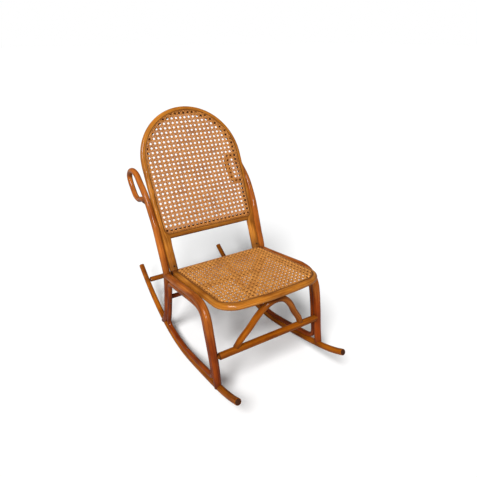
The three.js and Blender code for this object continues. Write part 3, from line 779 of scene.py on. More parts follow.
@dataclass(frozen=True)
class SawnEnd:
    """Sawn end grain, dark where it drank the varnish."""

    name: str = "sawn_end_grain"
    pale: Colour = (0.070, 0.022, 0.006)
    deep: Colour = (0.028, 0.008, 0.003)
    ring_scale: float = 90.0
    ring_waver: float = 3.0
    heart: Triple = (0.011, 0.006, 0.0)
    pore_scale: Triple = (1500.0, 1500.0, 1.0)

    def make(self) -> Material:
        """Makes the material.

        Returns:
            The finished material.
        """
        bench = NodeBench(self.name)
        grain = bench.scaled(bench.attribute("grain", "Vector"), (1.0, 1.0, 0.0))
        values = {"Scale": self.ring_scale, "Distortion": self.ring_waver, "Detail": 3.0}
        rings = bench.node("TexWave", values, wave_type="RINGS", rings_direction="Z")
        moved = bench.node("Mapping", {"Location": self.heart})
        bench.wire(grain, moved.inputs["Vector"])
        bench.wire(moved.outputs["Vector"], rings.inputs["Vector"])
        pores = bench.noise(bench.scaled(grain, self.pore_scale), 3.0)
        tone = bench.maths("MULTIPLY", rings.outputs["Fac"], pores)
        bench.feed(bench.ramp(tone, [(0.1, self.deep), (0.55, self.pale)]), "Base Color")
        bench.feed(bench.spread(pores, (0.3, 0.7), (0.5, 0.75)), "Roughness")
        bench.fix("Specular IOR Level", 0.15)
        bench.relief(tone, 0.0005, 0.4)
        return bench.material


@dataclass(frozen=True)
class VarnishedCane:
    """Split cane under varnish: glossy rind, fibres along the strand, dark nodes here and there.

    The scales of fibres and nodes are given across the strand, from strand to strand and along it.
    """

    name: str
    pale: Colour
    middle: Colour
    deep: Colour
    fibre_scale: Triple = (5.0, 1.0, 22.0)
    node_scale: Triple = (0.3, 3.0, 60.0)
    stain_scale: Triple = (16.0, 16.0, 16.0)
    dark_strand: Colour = (0.74, 0.68, 0.6)
    pale_strand: Colour = (1.16, 1.16, 1.14)
    node_tone: Colour = (0.09, 0.03, 0.01)
    # Colour of the painted shade on the sloping sides of each strand.
    edge_tone: Colour = (0.16, 0.05, 0.010)
    # Colour of the painted shade on the lower strands of the weave.
    grime: Colour = (0.12, 0.04, 0.014)

    def make(self) -> Material:
        """Makes the material.

        Returns:
            The finished material.
        """
        bench = NodeBench(self.name)
        grain = bench.attribute("grain", "Vector")
        parts = bench.node("SeparateXYZ")
        bench.wire(grain, parts.inputs["Vector"])
        fibres = bench.noise(bench.scaled(grain, self.fibre_scale), 4.0, 0.6)
        cane = bench.ramp(fibres, [(0.3, self.deep), (0.5, self.middle), (0.68, self.pale)])
        strand = bench.node("TexWhiteNoise", noise_dimensions="1D")
        bench.wire(parts.outputs["Y"], strand.inputs["W"])
        strand_tones = [(0.0, self.dark_strand), (0.6, WHITE), (1.0, self.pale_strand)]
        cane = bench.blend(1.0, cane, bench.ramp(strand.outputs["Value"], strand_tones), "MULTIPLY")
        place = bench.node("TexCoord").outputs["Object"]
        stains = bench.noise(bench.scaled(place, self.stain_scale), 3.0)
        cane = bench.blend(bench.spread(stains, (0.5, 0.72), (0.0, 0.42)), cane, self.deep)
        nodes = bench.noise(bench.scaled(grain, self.node_scale), 1.0)
        cane = bench.blend(bench.spread(nodes, (0.74, 0.8), (0.0, 0.75)), cane, self.node_tone)
        # Painted shade along the sloping sides of each strand, beside the gaps.
        edge = bench.node("Math", operation="ABSOLUTE")
        bench.wire(parts.outputs["X"], edge.inputs[0])
        edge_shade_share = bench.spread(edge.outputs["Value"], (0.6, 0.86), (0.0, 0.85))
        cane = bench.blend(edge_shade_share, cane, self.edge_tone)
        # Painted shade: darker where the strand lies low in the weave.
        cane = bench.blend(bench.attribute("grime", "Fac"), cane, self.grime)
        bench.feed(cane, "Base Color")
        bench.feed(bench.spread(fibres, (0.3, 0.7), (0.36, 0.56)), "Roughness")
        bench.fix("Specular IOR Level", 0.12)
        bench.fix("Coat Weight", 0.12)
        bench.fix("Coat Roughness", 0.2)
        bench.relief(fibres, 0.0002, 0.3)
        return bench.material


@dataclass(frozen=True)
class TarnishedSteel:
    """Old screw heads, browned by varnish and rust."""

    name: str = "old_screw_steel"
    bare: Colour = (0.42, 0.36, 0.3)
    browned: Colour = (0.17, 0.12, 0.085)
    rusted: Colour = (0.05, 0.025, 0.014)
    rust_scale: Triple = (420.0, 420.0, 420.0)

    def make(self) -> Material:
        """Makes the material.

        Returns:
            The finished material.
        """
        bench = NodeBench(self.name)
        place = bench.node("TexCoord").outputs["Object"]
        rust = bench.noise(bench.scaled(place, self.rust_scale), 4.0)
        colour = bench.ramp(rust, [(0.36, self.rusted), (0.52, self.browned), (0.7, self.bare)])
        bench.feed(colour, "Base Color")
        bench.feed(bench.spread(rust, (0.3, 0.7), (0.75, 0.35)), "Roughness")
        bench.fix("Metallic", 0.8)
        bench.relief(rust, 0.0002, 0.3)
        return bench.material


@dataclass
class Finishes:
    """All materials of the chair, each made once."""

    rocker: Material = field(
        default_factory=VarnishedBeech(
            "rocker_beech",
            pale=(0.47, 0.140, 0.007),
            middle=(0.275, 0.070, 0.002),
            deep=(0.105, 0.020, 0.0006),
            coat=0.16,
        ).make
    )
    frame: Material = field(
        default_factory=VarnishedBeech(
            "frame_beech",
            pale=(0.54, 0.184, 0.034),
            middle=(0.350, 0.093, 0.010),
            deep=(0.16, 0.029, 0.002),
            coat=0.3,
            dark_feet=True,
        ).make
    )
    honey: Material = field(
        default_factory=VarnishedBeech(
            "honey_beech",
            pale=(0.57, 0.244, 0.044),
            middle=(0.390, 0.134, 0.013),
            deep=(0.20, 0.052, 0.004),
            grime=(0.045, 0.010, 0.002),
            coat=0.32,
        ).make
    )
    sawn: Material = field(default_factory=SawnEnd().make)
    back_cane: Material = field(
        default_factory=VarnishedCane(
            "back_split_cane",
            pale=(0.80, 0.375, 0.102),
            middle=(0.56, 0.218, 0.043),
            deep=(0.26, 0.070, 0.010),
        ).make
    )
    seat_cane: Material = field(
        default_factory=VarnishedCane(
            "seat_split_cane",
            pale=(0.98, 0.52, 0.155),
            middle=(0.80, 0.335, 0.068),
            deep=(0.33, 0.090, 0.012),
        ).make
    )
    reed: Material = field(
        default_factory=VarnishedCane(
            "reed_spline",
            pale=(0.46, 0.20, 0.050),
            middle=(0.30, 0.11, 0.022),
            deep=(0.14, 0.042, 0.008),
        ).make
    )
    steel: Material = field(default_factory=TarnishedSteel().make)


@dataclass(frozen=True)
class Taper:
    """Radius of a rod at marks, which are shares of its length. Between them it changes evenly."""

    marks: tuple[float, ...]
    radii: tuple[float, ...]

    def at(self, share: float) -> float:
        """Radius at a share of the rod's length."""
        return float(np.interp(share, self.marks, self.radii))

    def along(self, path: np.ndarray) -> np.ndarray:
        """Radius at each point of a centre line."""
        lengths = run_lengths(path)
        return np.interp(lengths / lengths[-1], self.marks, self.radii)


@dataclass
class BentRod:
    """A round rod bent along a centre line, with eased sawn ends."""

    name: str
    path: np.ndarray
    taper: Taper
    flat_axis: np.ndarray = field(default_factory=lambda: X_AXIS)
    sides: int = 28
    ease: float = 0.0014
    eased_ends: tuple[bool, bool] = (False, False)

    def stations(self) -> tuple[np.ndarray, np.ndarray]:
        """Adds the eased edges of the sawn ends.

        Returns:
            The centre line and the radius at each of its points.
        """
        path, radii = self.path, self.taper.along(self.path)
        for at_end, wanted in enumerate(self.eased_ends):
            if not wanted:
                continue
            end, step = (-1, -2) if at_end else (0, 1)
            way = unit(path[end] - path[step])
            extra = np.array([path[end] - way * self.ease * back for back in (1.0, EASE_MIDDLE, 0.0)])
            sizes = radii[end] - self.ease * np.array((0.0, EASE_MIDDLE, 1.0))
            if at_end:
                path = np.vstack([path[:-1], extra])
                radii = np.concatenate([radii[:-1], sizes])
            else:
                path = np.vstack([extra[::-1], path[1:]])
                radii = np.concatenate([sizes[::-1], radii[1:]])
        return path, radii

    def bend(self) -> Piece:
        """Models the rod.

        Returns:
            The rod.
        """
        path, radii = self.stations()
        rings = sweep(path, self.flat_axis, circle(self.sides)[None] * radii[:, None, None])
        return extrude_rings(self.name, rings)


@dataclass
class Rockers:
    """The two long bent rockers."""

    finishes: Finishes
    rise: float = 0.1695
    front_setback: float = 0.021
    rear_setback: float = 0.037
    taper: Taper = Taper(marks=(0, 0.35, 0.6, 1), radii=(0.0124, 0.012, 0.012, 0.0114))
    end_dirt: Pair = (0.012, 0.35)
    shares: Shares = (
        (-1, 0.673), (-0.919, 0.563), (-0.808, 0.448), (-0.694, 0.36), (-0.583, 0.283), (-0.47, 0.212),
        (-0.359, 0.145), (-0.248, 0.083), (-0.137, 0.031), (-0.026, 0), (0.085, 0), (0.197, 0.027),
        (0.308, 0.077), (0.419, 0.156), (0.53, 0.263), (0.641, 0.395), (0.752, 0.552), (0.863, 0.737),
        (0.972, 0.944), (1, 1),
    )

    def path(self, side: Side, steps: int = 110) -> np.ndarray:
        """Centre line of one rocker, which stands on the floor at its lowest place.

        Args:
            side: Which rocker.
            steps: Number of even steps along it.

        Returns:
            The points of the centre line, from its front tip.
        """
        controls = []
        for along, rise in self.shares:
            setback = self.front_setback + (self.rear_setback - self.front_setback) * (along + 1) / 2
            across = side.value * (PLAN.half_width - setback)
            controls.append((across, along * PLAN.half_length, self.taper.radii[1] + rise * self.rise))
        line = smooth_path(controls, steps)
        line[:, 2] = np.maximum(line[:, 2], self.taper.radii[1])
        return line

    def build(self, joints: Marks) -> None:
        """Models and dresses both rockers.

        Args:
            joints: Where the other pieces meet each rocker.
        """
        for side in Side:
            path = self.path(side)
            rocker = BentRod(f"bent_rocker_{side.label}", path, self.taper, eased_ends=(True, True)).bend()
            write_grain(rocker, path, X_AXIS)
            write_grime(rocker, [*joints[side], (path[0], *self.end_dirt), (path[-1], *self.end_dirt)])
            dress(rocker, Slot.ROCKER, [f"rocker_{side.label}"], [self.finishes.rocker, self.finishes.sawn])


@dataclass
class SideFrames:
    """Front legs that run on as side rails, rear posts that curl into crooks, and the loops inside them.

    The shares are points of a centre line, in shares of the half width, half length and height. Dirt is given
    as its reach and strength.
    """

    finishes: Finishes
    leg_taper: Taper = Taper(marks=(0, 0.42, 0.62, 1), radii=(0.0134, 0.0155, 0.0142, 0.0142))
    post_taper: Taper = Taper(marks=(0, 0.4, 0.52, 0.7, 1), radii=(0.014, 0.014, 0.0132, 0.0122, 0.010))
    loop_radius: float = 0.0098
    loop_sides: int = 20
    foot_drop: float = 0.002
    foot_spare: float = 0.02
    tip_length: float = 0.006
    leg_shares: Shares = (
        (0.918, -0.714, 0.079), (0.92, -0.682, 0.163), (0.929, -0.653, 0.24), (0.938, -0.618, 0.315),
        (0.938, -0.599, 0.347), (0.935, -0.565, 0.375), (0.929, -0.506, 0.394), (0.9225, -0.423, 0.398),
        (0.92, -0.372, 0.395), (0.9175, -0.256, 0.385), (0.9175, 0.002, 0.362), (0.918, 0.167, 0.3485),
    )
    post_shares: Shares = (
        (0.879, 0.399, 0.036), (0.88, 0.329, 0.082), (0.893, 0.244, 0.212), (0.909, 0.194, 0.307),
        (0.919, 0.18, 0.357), (0.922, 0.237, 0.431), (0.9275, 0.291, 0.5), (0.932, 0.329, 0.547),
        (0.939, 0.381, 0.595), (0.947, 0.48, 0.664), (0.95, 0.594, 0.712), (0.95, 0.66, 0.7365),
        (0.95, 0.755, 0.743), (0.95, 0.84, 0.7275), (0.95, 0.873, 0.7035), (0.95, 0.857, 0.679),
        (0.95, 0.803, 0.648), (0.95, 0.75, 0.6265), (0.95, 0.67, 0.6215), (0.95, 0.596, 0.635),
        (0.95, 0.5, 0.639),
    )
    foot_dirt: Pair = (0.03, 0.7)
    rail_end_dirt: Pair = (0.022, 0.75)
    rail_joint_dirt: Pair = (0.03, 0.55)
    tip_dirt: Pair = (0.02, 0.7)
    loop_dirt: Pair = (0.03, 0.5)
    loop_dirt_stations: tuple[int, ...] = (0, 45, 90, 130)
    crook_station: int = 75
    loop_leg_start: float = 0.135
    loop_rail_end: float = 0.068
    loop_post_top: float = 0.292
    loop_post_end: float = 0.09
    loop_rocker_rear: float = 0.2
    loop_rocker_front: float = -0.577

    def leg_path(self, side: Side, steps: int = 90) -> np.ndarray:
        """Centre line of a front leg and its side rail."""
        return smooth_path((PLAN.place(shares, side) for shares in self.leg_shares), steps)

    def post_path(self, side: Side, steps: int = 150) -> np.ndarray:
        """Centre line of a rear post and its crook."""
        return smooth_path((PLAN.place(shares, side) for shares in self.post_shares), steps)

    def beside(self, path: np.ndarray, taper: Taper, direction: int) -> np.ndarray:
        """Centre line of a loop rod that lies against another rod.

        Args:
            path: The other rod's centre line.
            taper: The other rod's radius.
            direction: On which side of it, +1 or -1.

        Returns:
            The points beside it.
        """
        _, inward = section_axes(path, X_AXIS)
        reach = taper.along(path) + self.loop_radius + PLAN.gap
        return path + direction * reach[:, None] * inward

    @staticmethod
    def corner(run: np.ndarray, following: np.ndarray, steps: int = 12) -> np.ndarray:
        """Rounded corner between the end of one run and the start of the next.

        Args:
            run: Points of the run before the corner.
            following: Points of the run after it.
            steps: Number of steps round it.

        Returns:
            The points between the two runs.
        """
        end, start = run[-1], following[0]
        leave, arrive = unit(end - run[-2]), unit(start - following[1])
        gap = start - end
        turn = leave[1] * arrive[2] - leave[2] * arrive[1]
        reach = (gap[1] * arrive[2] - gap[2] * arrive[1]) / turn
        apex = end + leave * reach
        apex[0] = (end[0] + start[0]) / 2
        share = np.linspace(0, 1, steps + 1)[1:-1, None]
        return (1 - share) ** 2 * end + 2 * share * (1 - share) * apex + share**2 * start

    def loop_path(self, side: Side, rockers: Rockers, steps: int = 150) -> np.ndarray:
        """Ring that lies inside the leg, rail, post and rocker of one side.

        Args:
            side: Which side.
            rockers: The rockers.
            steps: Number of even steps round it.

        Returns:
            The points of the ring.
        """
        half, height = PLAN.half_length, PLAN.height
        leg = stretch(
            self.beside(self.leg_path(side), self.leg_taper, -1),
            (2, self.loop_leg_start * height), (1, self.loop_rail_end * half),
        )
        below_crook = self.beside(self.post_path(side), self.post_taper, 1)[:self.crook_station]
        post = stretch(
            below_crook[::-1],
            (2, self.loop_post_top * height), (2, self.loop_post_end * height),
        )
        floor = stretch(
            self.beside(rockers.path(side), rockers.taper, 1)[::-1],
            (1, self.loop_rocker_rear * half), (1, self.loop_rocker_front * half),
        )
        corners = (self.corner(leg, post), self.corner(post, floor), self.corner(floor, leg))
        ring = np.vstack([leg, corners[0], post, corners[1], floor, corners[2]])
        return evenly(np.vstack([ring, ring[:1]]), steps)[:-1]

    def foot_cut(self, line: np.ndarray, rocker_line: np.ndarray) -> tuple[np.ndarray, np.ndarray]:
        """Cut under a foot, parallel to the rocker and a little below its middle.

        Args:
            line: Centre line of the leg or post, from its foot.
            rocker_line: Centre line of the rocker.

        Returns:
            A point of the cut, and the direction of the waste.
        """
        index, place = crossing(rocker_line, 1, line[0][1])
        upward = unit(np.cross(X_AXIS, directions(rocker_line)[index]))
        return place - upward * self.foot_drop, -upward

    def build_rod(
        self,
        name: str,
        line: np.ndarray,
        taper: Taper,
        cut: tuple[np.ndarray, np.ndarray],
        node: str,
        marks: Sequence[Mark],
    ) -> None:
        """Models and dresses a leg or a post.

        Args:
            name: Name of the piece.
            line: Centre line from the foot up.
            taper: Its radius.
            cut: Point and waste direction of the cut under the foot.
            node: CAD node that it stands for.
            marks: Dark patches at the joints.
        """
        spare = unit(line[0] - line[1]) * self.foot_spare
        rod = BentRod(name, np.vstack([line[0] + spare, line]), taper).bend()
        trim_end(rod, *cut)
        write_grain(rod, line, X_AXIS)
        write_grime(rod, marks)
        dress(rod, Slot.FRAME, [node], [self.finishes.frame, self.finishes.sawn])

    def build(self, rockers: Rockers, bars: Marks) -> None:
        """Models and dresses both side frames.

        Args:
            rockers: The rockers that the frames stand on.
            bars: Where the cross bars enter each side.
        """
        for side in Side:
            leg, post, rocker = self.leg_path(side), self.post_path(side), rockers.path(side)
            cut = self.foot_cut(leg, rocker)
            marks = [(leg[0], *self.foot_dirt), (leg[-1], *self.rail_end_dirt), *bars[side]]
            name, node = f"bent_leg_{side.label}", f"front_leg_{side.label}"
            self.build_rod(name, leg, self.leg_taper, cut, node, marks)
            cut = self.foot_cut(post, rocker)
            tip = post[-1] + unit(post[-1] - post[-2]) * self.tip_length
            joint = crossing(post, 2, leg[-1][2])[1]
            marks = [(post[0], *self.foot_dirt), (joint, *self.rail_joint_dirt), (tip, *self.tip_dirt)]
            name, node = f"bent_post_{side.label}", f"rear_post_{side.label}"
            line = np.vstack([post, tip])
            self.build_rod(name, line, self.post_taper, cut, node, [*marks, *bars[side]])
            ring = self.loop_path(side, rockers)
            section = circle(self.loop_sides) * self.loop_radius
            rings = sweep(ring, X_AXIS, section[None], closed=True)
            loop = extrude_rings(f"bent_loop_{side.label}", rings, closed=True)
            write_grain(loop, ring, X_AXIS, closed=True)
            write_grime(loop, [(ring[index], *self.loop_dirt) for index in self.loop_dirt_stations])
            dress(loop, Slot.FRAME, [f"side_loop_{side.label}"], [self.finishes.frame])


@dataclass(frozen=True)
class TurnedBar:
    """Sizes of a turned bar: its radius, that of its tenons, and how far in its shoulders lie."""

    radius: float
    tenon: float
    setback: float


@dataclass
class CrossBars:
    """Turned bars across the chair, with a round tenon on each end, and the arch that braces the front.

    Dirt is given as its reach and strength.
    """

    finishes: Finishes
    stretcher: TurnedBar = TurnedBar(radius=0.0132, tenon=0.008, setback=0.037)
    rocker_bar: TurnedBar = TurnedBar(radius=0.0118, tenon=0.0065, setback=0.051)
    post_bar: TurnedBar = TurnedBar(radius=0.0096, tenon=0.006, setback=0.044)
    rocker_bar_along: float = 0.8465
    post_bar_up: float = 0.211
    tenon_depth: float = 0.012
    shoulder_ease: float = 0.0016
    waist_shares: tuple[float, ...] = (0.6, 0.3, 0.0)
    bar_sides: int = 28
    grain_steps: int = 40
    sawn_facing: float = 0.9
    arch_radius: float = 0.0119
    arch_ease: float = 0.001
    arch_foot_half_span: float = 0.143
    arch_foot_setback: float = 0.0032
    arch_shares: Shares = ((1, 0), (0.9, 0.18), (0.68, 0.45), (0.52, 0.68), (0.375, 0.84), (0.2, 0.96))
    shoulder_dirt: tuple[Pair, ...] = ((0.014, 0.85), (0.13, 0.4))
    stretcher_entry_dirt: Pair = (0.02, 0.7)
    post_bar_entry_dirt: Pair = (0.018, 0.7)
    rocker_bar_entry_dirt: Pair = (0.02, 0.6)
    under_foot_dirt: Pair = (0.024, 0.6)
    arch_foot_dirt: Pair = (0.022, 0.75)
    arch_crown_dirt: Pair = (0.035, 0.75)

    @property
    def stretcher_place(self) -> Pair:
        """Where the front stretcher lies, along and up."""
        return PLAN.stretcher_along * PLAN.half_length, PLAN.stretcher_up * PLAN.height

    def rocker_bar_place(self, rockers: Rockers) -> Pair:
        """Where the rear rocker bar lies, along and up."""
        place = crossing(rockers.path(Side.LEFT), 1, self.rocker_bar_along * PLAN.half_length)[1]
        return float(place[1]), float(place[2])

    def post_bar_place(self, frames: SideFrames) -> Pair:
        """Where the rear post bar lies, along and up."""
        place = crossing(frames.post_path(Side.LEFT), 2, self.post_bar_up * PLAN.height)[1]
        return float(place[1]), float(place[2])

    def entry_marks(self, rockers: Rockers, frames: SideFrames) -> tuple[Marks, Marks]:
        """Dark patches where the bars enter the side frames and the rockers, and under the feet.

        Args:
            rockers: The rockers.
            frames: The side frames.

        Returns:
            The patches of the side frames, and those of the rockers.
        """
        on_frames, on_rockers = {}, {}
        for side in Side:
            inner = side.value * (PLAN.half_width - self.stretcher.setback)
            on_frames[side] = [
                ((inner, *self.stretcher_place), *self.stretcher_entry_dirt),
                ((inner, *self.post_bar_place(frames)), *self.post_bar_entry_dirt),
            ]
            on_rockers[side] = [
                (frames.leg_path(side)[0], *self.under_foot_dirt),
                (frames.post_path(side)[0], *self.under_foot_dirt),
                ((inner, *self.rocker_bar_place(rockers)), *self.rocker_bar_entry_dirt),
            ]
        return on_frames, on_rockers

    def turn_bar(self, name: str, node: str, bar: TurnedBar, place: Pair, slot: Slot) -> None:
        """Turns one bar: tenon, eased shoulder, even middle, eased shoulder, tenon.

        Args:
            name: Name of the piece.
            node: CAD node that it stands for.
            bar: Its sizes.
            place: Where it lies, along and up.
            slot: The record's slot, which has its wood too.
        """
        shoulder = PLAN.half_width - bar.setback
        ease = self.shoulder_ease
        half = [
            (shoulder + self.tenon_depth, bar.tenon),
            (shoulder, bar.tenon),
            (shoulder, bar.radius - ease),
            (shoulder - ease * EASE_MIDDLE, bar.radius - ease * EASE_MIDDLE),
            (shoulder - ease, bar.radius),
            *[(shoulder * share, bar.radius) for share in self.waist_shares],
        ]
        profile = [(-across, size) for across, size in half] + half[-2::-1]
        path = np.array([(across, *place) for across, _ in profile])
        along, up = place
        angles = circle(self.bar_sides)
        rings = np.array([[(x, along + size * v, up + size * u) for u, v in angles] for x, size in profile])
        piece = extrude_rings(name, rings)
        write_grain(piece, evenly(path[[0, -1]], self.grain_steps), Z_AXIS)
        ends = [(sign * shoulder, *place) for sign in (-1, 1)]
        write_grime(piece, [(end, *dirt) for end in ends for dirt in self.shoulder_dirt])
        wood = self.finishes.rocker if slot is Slot.ROCKER else self.finishes.frame
        dress(piece, slot, [node], [wood, self.finishes.sawn])
        for face in piece.data.polygons:
            face.material_index = 1 if abs(face.normal.x) > self.sawn_facing else 0

    def arch_path(self, crown: np.ndarray, steps: int = 90) -> np.ndarray:
        """Centre line of the arch, from foot to foot over its crown.

        Args:
            crown: Top of the centre line.
            steps: Number of even steps along it.

        Returns:
            The points of the centre line.
        """
        along, up = self.stretcher_place
        foot = np.array((0.0, along + self.arch_foot_setback, up + self.stretcher.radius / 2))
        limb = []
        for span, climb in self.arch_shares:
            point = foot + climb * (crown - foot)
            limb.append((span * self.arch_foot_half_span, point[1], point[2]))
        mirrored = [(-across, along_y, up_z) for across, along_y, up_z in reversed(limb)]
        return smooth_path([*limb, tuple(crown), *mirrored], steps)

    def build_arch(self, crown: np.ndarray) -> None:
        """Models and dresses the arch under the seat's front rail.

        Args:
            crown: Top of its centre line.
        """
        path = self.arch_path(crown)
        rise = crown - path[0]
        leaning = unit(np.array((0.0, rise[2], -rise[1])))
        arch = BentRod(
            "bent_front_arch",
            path,
            Taper((0, 1), (self.arch_radius, self.arch_radius)),
            leaning,
            eased_ends=(True, True),
            ease=self.arch_ease,
        ).bend()
        write_grain(arch, path, leaning)
        top = crown + (0, 0, self.arch_radius)
        feet = [(path[end], *self.arch_foot_dirt) for end in (0, -1)]
        write_grime(arch, [*feet, (top, *self.arch_crown_dirt)])
        dress(arch, Slot.ROCKER, ["front_arch"], [self.finishes.rocker, self.finishes.sawn])

    def build(self, rockers: Rockers, frames: SideFrames, crown: np.ndarray) -> None:
        """Models and dresses the bars and the arch.

        Args:
            rockers: The rockers that carry the rear bar.
            frames: The side frames that carry the others.
            crown: Top of the arch's centre line.
        """
        place = self.stretcher_place
        self.turn_bar("turned_front_stretcher", "front_stretcher", self.stretcher, place, Slot.ROCKER)
        place = self.rocker_bar_place(rockers)
        self.turn_bar("turned_rocker_bar", "rear_rocker_bar", self.rocker_bar, place, Slot.ROCKER)
        place = self.post_bar_place(frames)
        self.turn_bar("turned_post_bar", "rear_post_bar", self.post_bar, place, Slot.FRAME)
        self.build_arch(crown)


@dataclass
class CaneGroove:
    """The groove round a panel, and the reed spline that holds the cane in it."""

    inset: float = 0.020
    width: float = 0.0046
    depth: float = 0.006
    rise: float = 0.0014
    corner: float = 0.018
    spare: float = 0.002
    crown_points: int = 9
    fibre_breadth: float = 0.7
    fibre_strand: float = 7.0
    smooth_angle: float = 60.0

    def cutter(self, outline: np.ndarray) -> Piece:
        """Shape of the groove, which stands a little above the wood so that it cuts cleanly.

        Args:
            outline: Closed outline of the groove's middle.

        Returns:
            The shape.
        """
        half, high, low = self.width / 2, self.spare, -self.depth
        section = np.array([(high, -half), (high, half), (low, half), (low, -half)])
        return extrude_rings("groove", sweep(outline, Z_AXIS, section[None], closed=True), closed=True)

    def build_spline(
        self, name: str, outline: np.ndarray, place: Matrix, node: str, finish: Material
    ) -> None:
        """Models and dresses the reed pressed into the groove.

        Args:
            name: Name of the piece.
            outline: Closed outline of the groove's middle.
            place: Place of the panel's plane.
            node: CAD node that it stands for.
            finish: Its material.
        """
        half = self.width / 2 - PLAN.gap
        low = PLAN.gap - self.depth
        angles = np.radians(np.linspace(0, 180, self.crown_points))
        crown = [(self.rise * math.sin(angle), half * math.cos(angle)) for angle in angles]
        section = np.array([*crown, (low, -half), (low, half)])
        reed = extrude_rings(name, sweep(outline, Z_AXIS, section[None], closed=True), closed=True)
        points = points_of(reed)
        nearest = np.argmin(np.linalg.norm(points[:, None, :2] - outline[None, :, :2], axis=2), axis=1)
        lengths = run_lengths(outline)
        _, inward = section_axes(outline, Z_AXIS, closed=True)
        across = np.sum((points - outline[nearest]) * inward[nearest], axis=1) / half
        strand = np.full(len(points), self.fibre_strand)
        grain = np.stack([across * self.fibre_breadth, strand, lengths[nearest]], axis=1)
        write_values(reed, "grain", grain)
        write_grime(reed, [])
        put_in_place(reed, place)
        dress(reed, Slot.CANE, [node], [finish], self.smooth_angle)


@dataclass
class CaneWeave:
    """Six-way cane: pairs of uprights, pairs of crosswise strands, and two diagonals through them.

    The pitch is the distance from hole to hole across and up the panel, and hole is the middle of one
    of them. The painted shade of the strands, darker the lower they lie, is given by its share at the
    strands' middle height, and what it gains over one thickness downwards.
    """

    name: str
    node: str
    cane: Material
    outline: np.ndarray
    place: Matrix
    pitch: Pair
    hole: Pair
    strand: float = 0.0042
    spacing: float = 0.0055
    thickness: float = 0.00105
    lift: float = 0.00175
    dive: float = 0.0032
    end_run: float = 0.0022
    end_clear: float = 0.0026
    pair_rise: float = 0.55
    flat_share: float = 0.66
    crossing_shares: tuple[float, ...] = (-0.34, -0.12, 0.12, 0.34)
    reach: int = 80
    level: float = 1e-9
    # Painted shade of the lower strands, and its darkest share.
    dirt: Pair = (0.38, 0.42)
    dirtiest: float = 0.94
    tone_step: float = 1.37
    smooth_angle: float = 50.0

    def clip(self, start: np.ndarray, way: np.ndarray) -> Pair | None:
        """Where a straight strand enters and leaves the panel.

        Args:
            start: A point of the strand.
            way: Its direction.

        Returns:
            The two distances along it, or nothing if it misses the panel.
        """
        corners = self.outline[:, :2]
        edges = np.roll(corners, -1, axis=0) - corners
        normals = np.stack([edges[:, 1], -edges[:, 0]], axis=1)
        depth = np.sum((corners - start) * normals, axis=1)
        speed = normals @ way
        with np.errstate(divide="ignore", invalid="ignore"):
            reach = depth / speed
        enter = float(np.max(reach[speed < -self.level]))
        leave = float(np.min(reach[speed > self.level]))
        return (enter, leave) if leave - enter > 2 * self.strand else None

    def strand_run(
        self, start: np.ndarray, way: np.ndarray, knots: np.ndarray, heights: np.ndarray
    ) -> np.ndarray | None:
        """One strand, with both ends pushed down into the groove.

        Args:
            start: A point of the strand.
            way: Its direction.
            knots: Distances along it where its height is known.
            heights: Those heights.

        Returns:
            The strand's points, or nothing if it misses the panel.
        """
        span = self.clip(start, way)
        if span is None:
            return None
        enter, leave = span
        inner = knots[(knots > enter + self.end_clear) & (knots < leave - self.end_clear)]
        marks = np.concatenate([[enter, enter + self.end_run], inner, [leave - self.end_run, leave]])
        up = np.interp(marks, knots, heights) + self.lift
        up[[0, -1]] = -self.dive
        up[[1, -2]] = np.minimum(up[[1, -2]], self.lift)
        flat = start + marks[:, None] * way
        return np.column_stack([flat, up])

    def paired_runs(self, along_y: bool) -> list[np.ndarray]:
        """The paired strands of one direction.

        Args:
            along_y: Whether they run up the panel, or across it.

        Returns:
            Their runs.
        """
        main, cross = (0, 1) if along_y else (1, 0)
        low, high = self.outline[:, :2].min(axis=0), self.outline[:, :2].max(axis=0)
        way = np.array((0.0, 1.0)) if along_y else np.array((1.0, 0.0))
        first = math.floor((low[main] - self.hole[main]) / self.pitch[main]) - 1
        last = math.ceil((high[main] - self.hole[main]) / self.pitch[main]) + 1
        rows = np.arange(-self.reach, self.reach + 1)
        middle = self.hole[cross] + (rows + 0.5) * self.pitch[cross]
        half = self.spacing / 2
        knots = np.concatenate([middle - half, middle + half, middle - self.pitch[cross] / 2])
        order = np.argsort(knots)
        runs = []
        for index in range(first, last):
            for member in (-1, 1):
                across = self.hole[main] + (index + 0.5) * self.pitch[main] + member * self.spacing / 2
                if not low[main] + self.strand < across < high[main] - self.strand:
                    continue
                start = np.zeros(2)
                start[main] = across
                rise = self.pair_rise * self.thickness * (member if along_y else -member)
                heights = np.repeat((rise, -rise, 0.0), len(rows))
                run = self.strand_run(start, way, knots[order], heights[order])
                if run is not None:
                    runs.append(run)
        return runs

    def diagonals(self, sense: int) -> list[np.ndarray]:
        """The slanting strands of one direction.

        Args:
            sense: +1 where they rise to the panel's right, -1 where they fall.

        Returns:
            Their runs.
        """
        step = np.array((self.pitch[0], sense * self.pitch[1]))
        way = unit(step)
        half = float(np.linalg.norm(step)) / 2
        sites = np.arange(-self.reach, self.reach + 1)
        shares = np.array(self.crossing_shares)
        knots = ((sites[:, None] + shares[None]) * half).ravel()
        over = np.where(sites % 2 == 0, 1.0, -1.0) * sense
        heights = np.repeat(over * self.thickness, len(shares))
        runs = []
        for index in range(-self.reach, self.reach):
            start = np.array((self.hole[0] + (index + 0.5) * self.pitch[0], self.hole[1]))
            if self.misses(start, way):
                continue
            run = self.strand_run(start, way, knots, heights)
            if run is not None:
                runs.append(run)
        return runs

    def misses(self, start: np.ndarray, way: np.ndarray) -> bool:
        """Whether a line from a point in a direction passes outside the panel."""
        offsets = (self.outline[:, 0] - start[0]) * way[1] - (self.outline[:, 1] - start[1]) * way[0]
        return bool(offsets.min() > -self.strand or offsets.max() < self.strand)

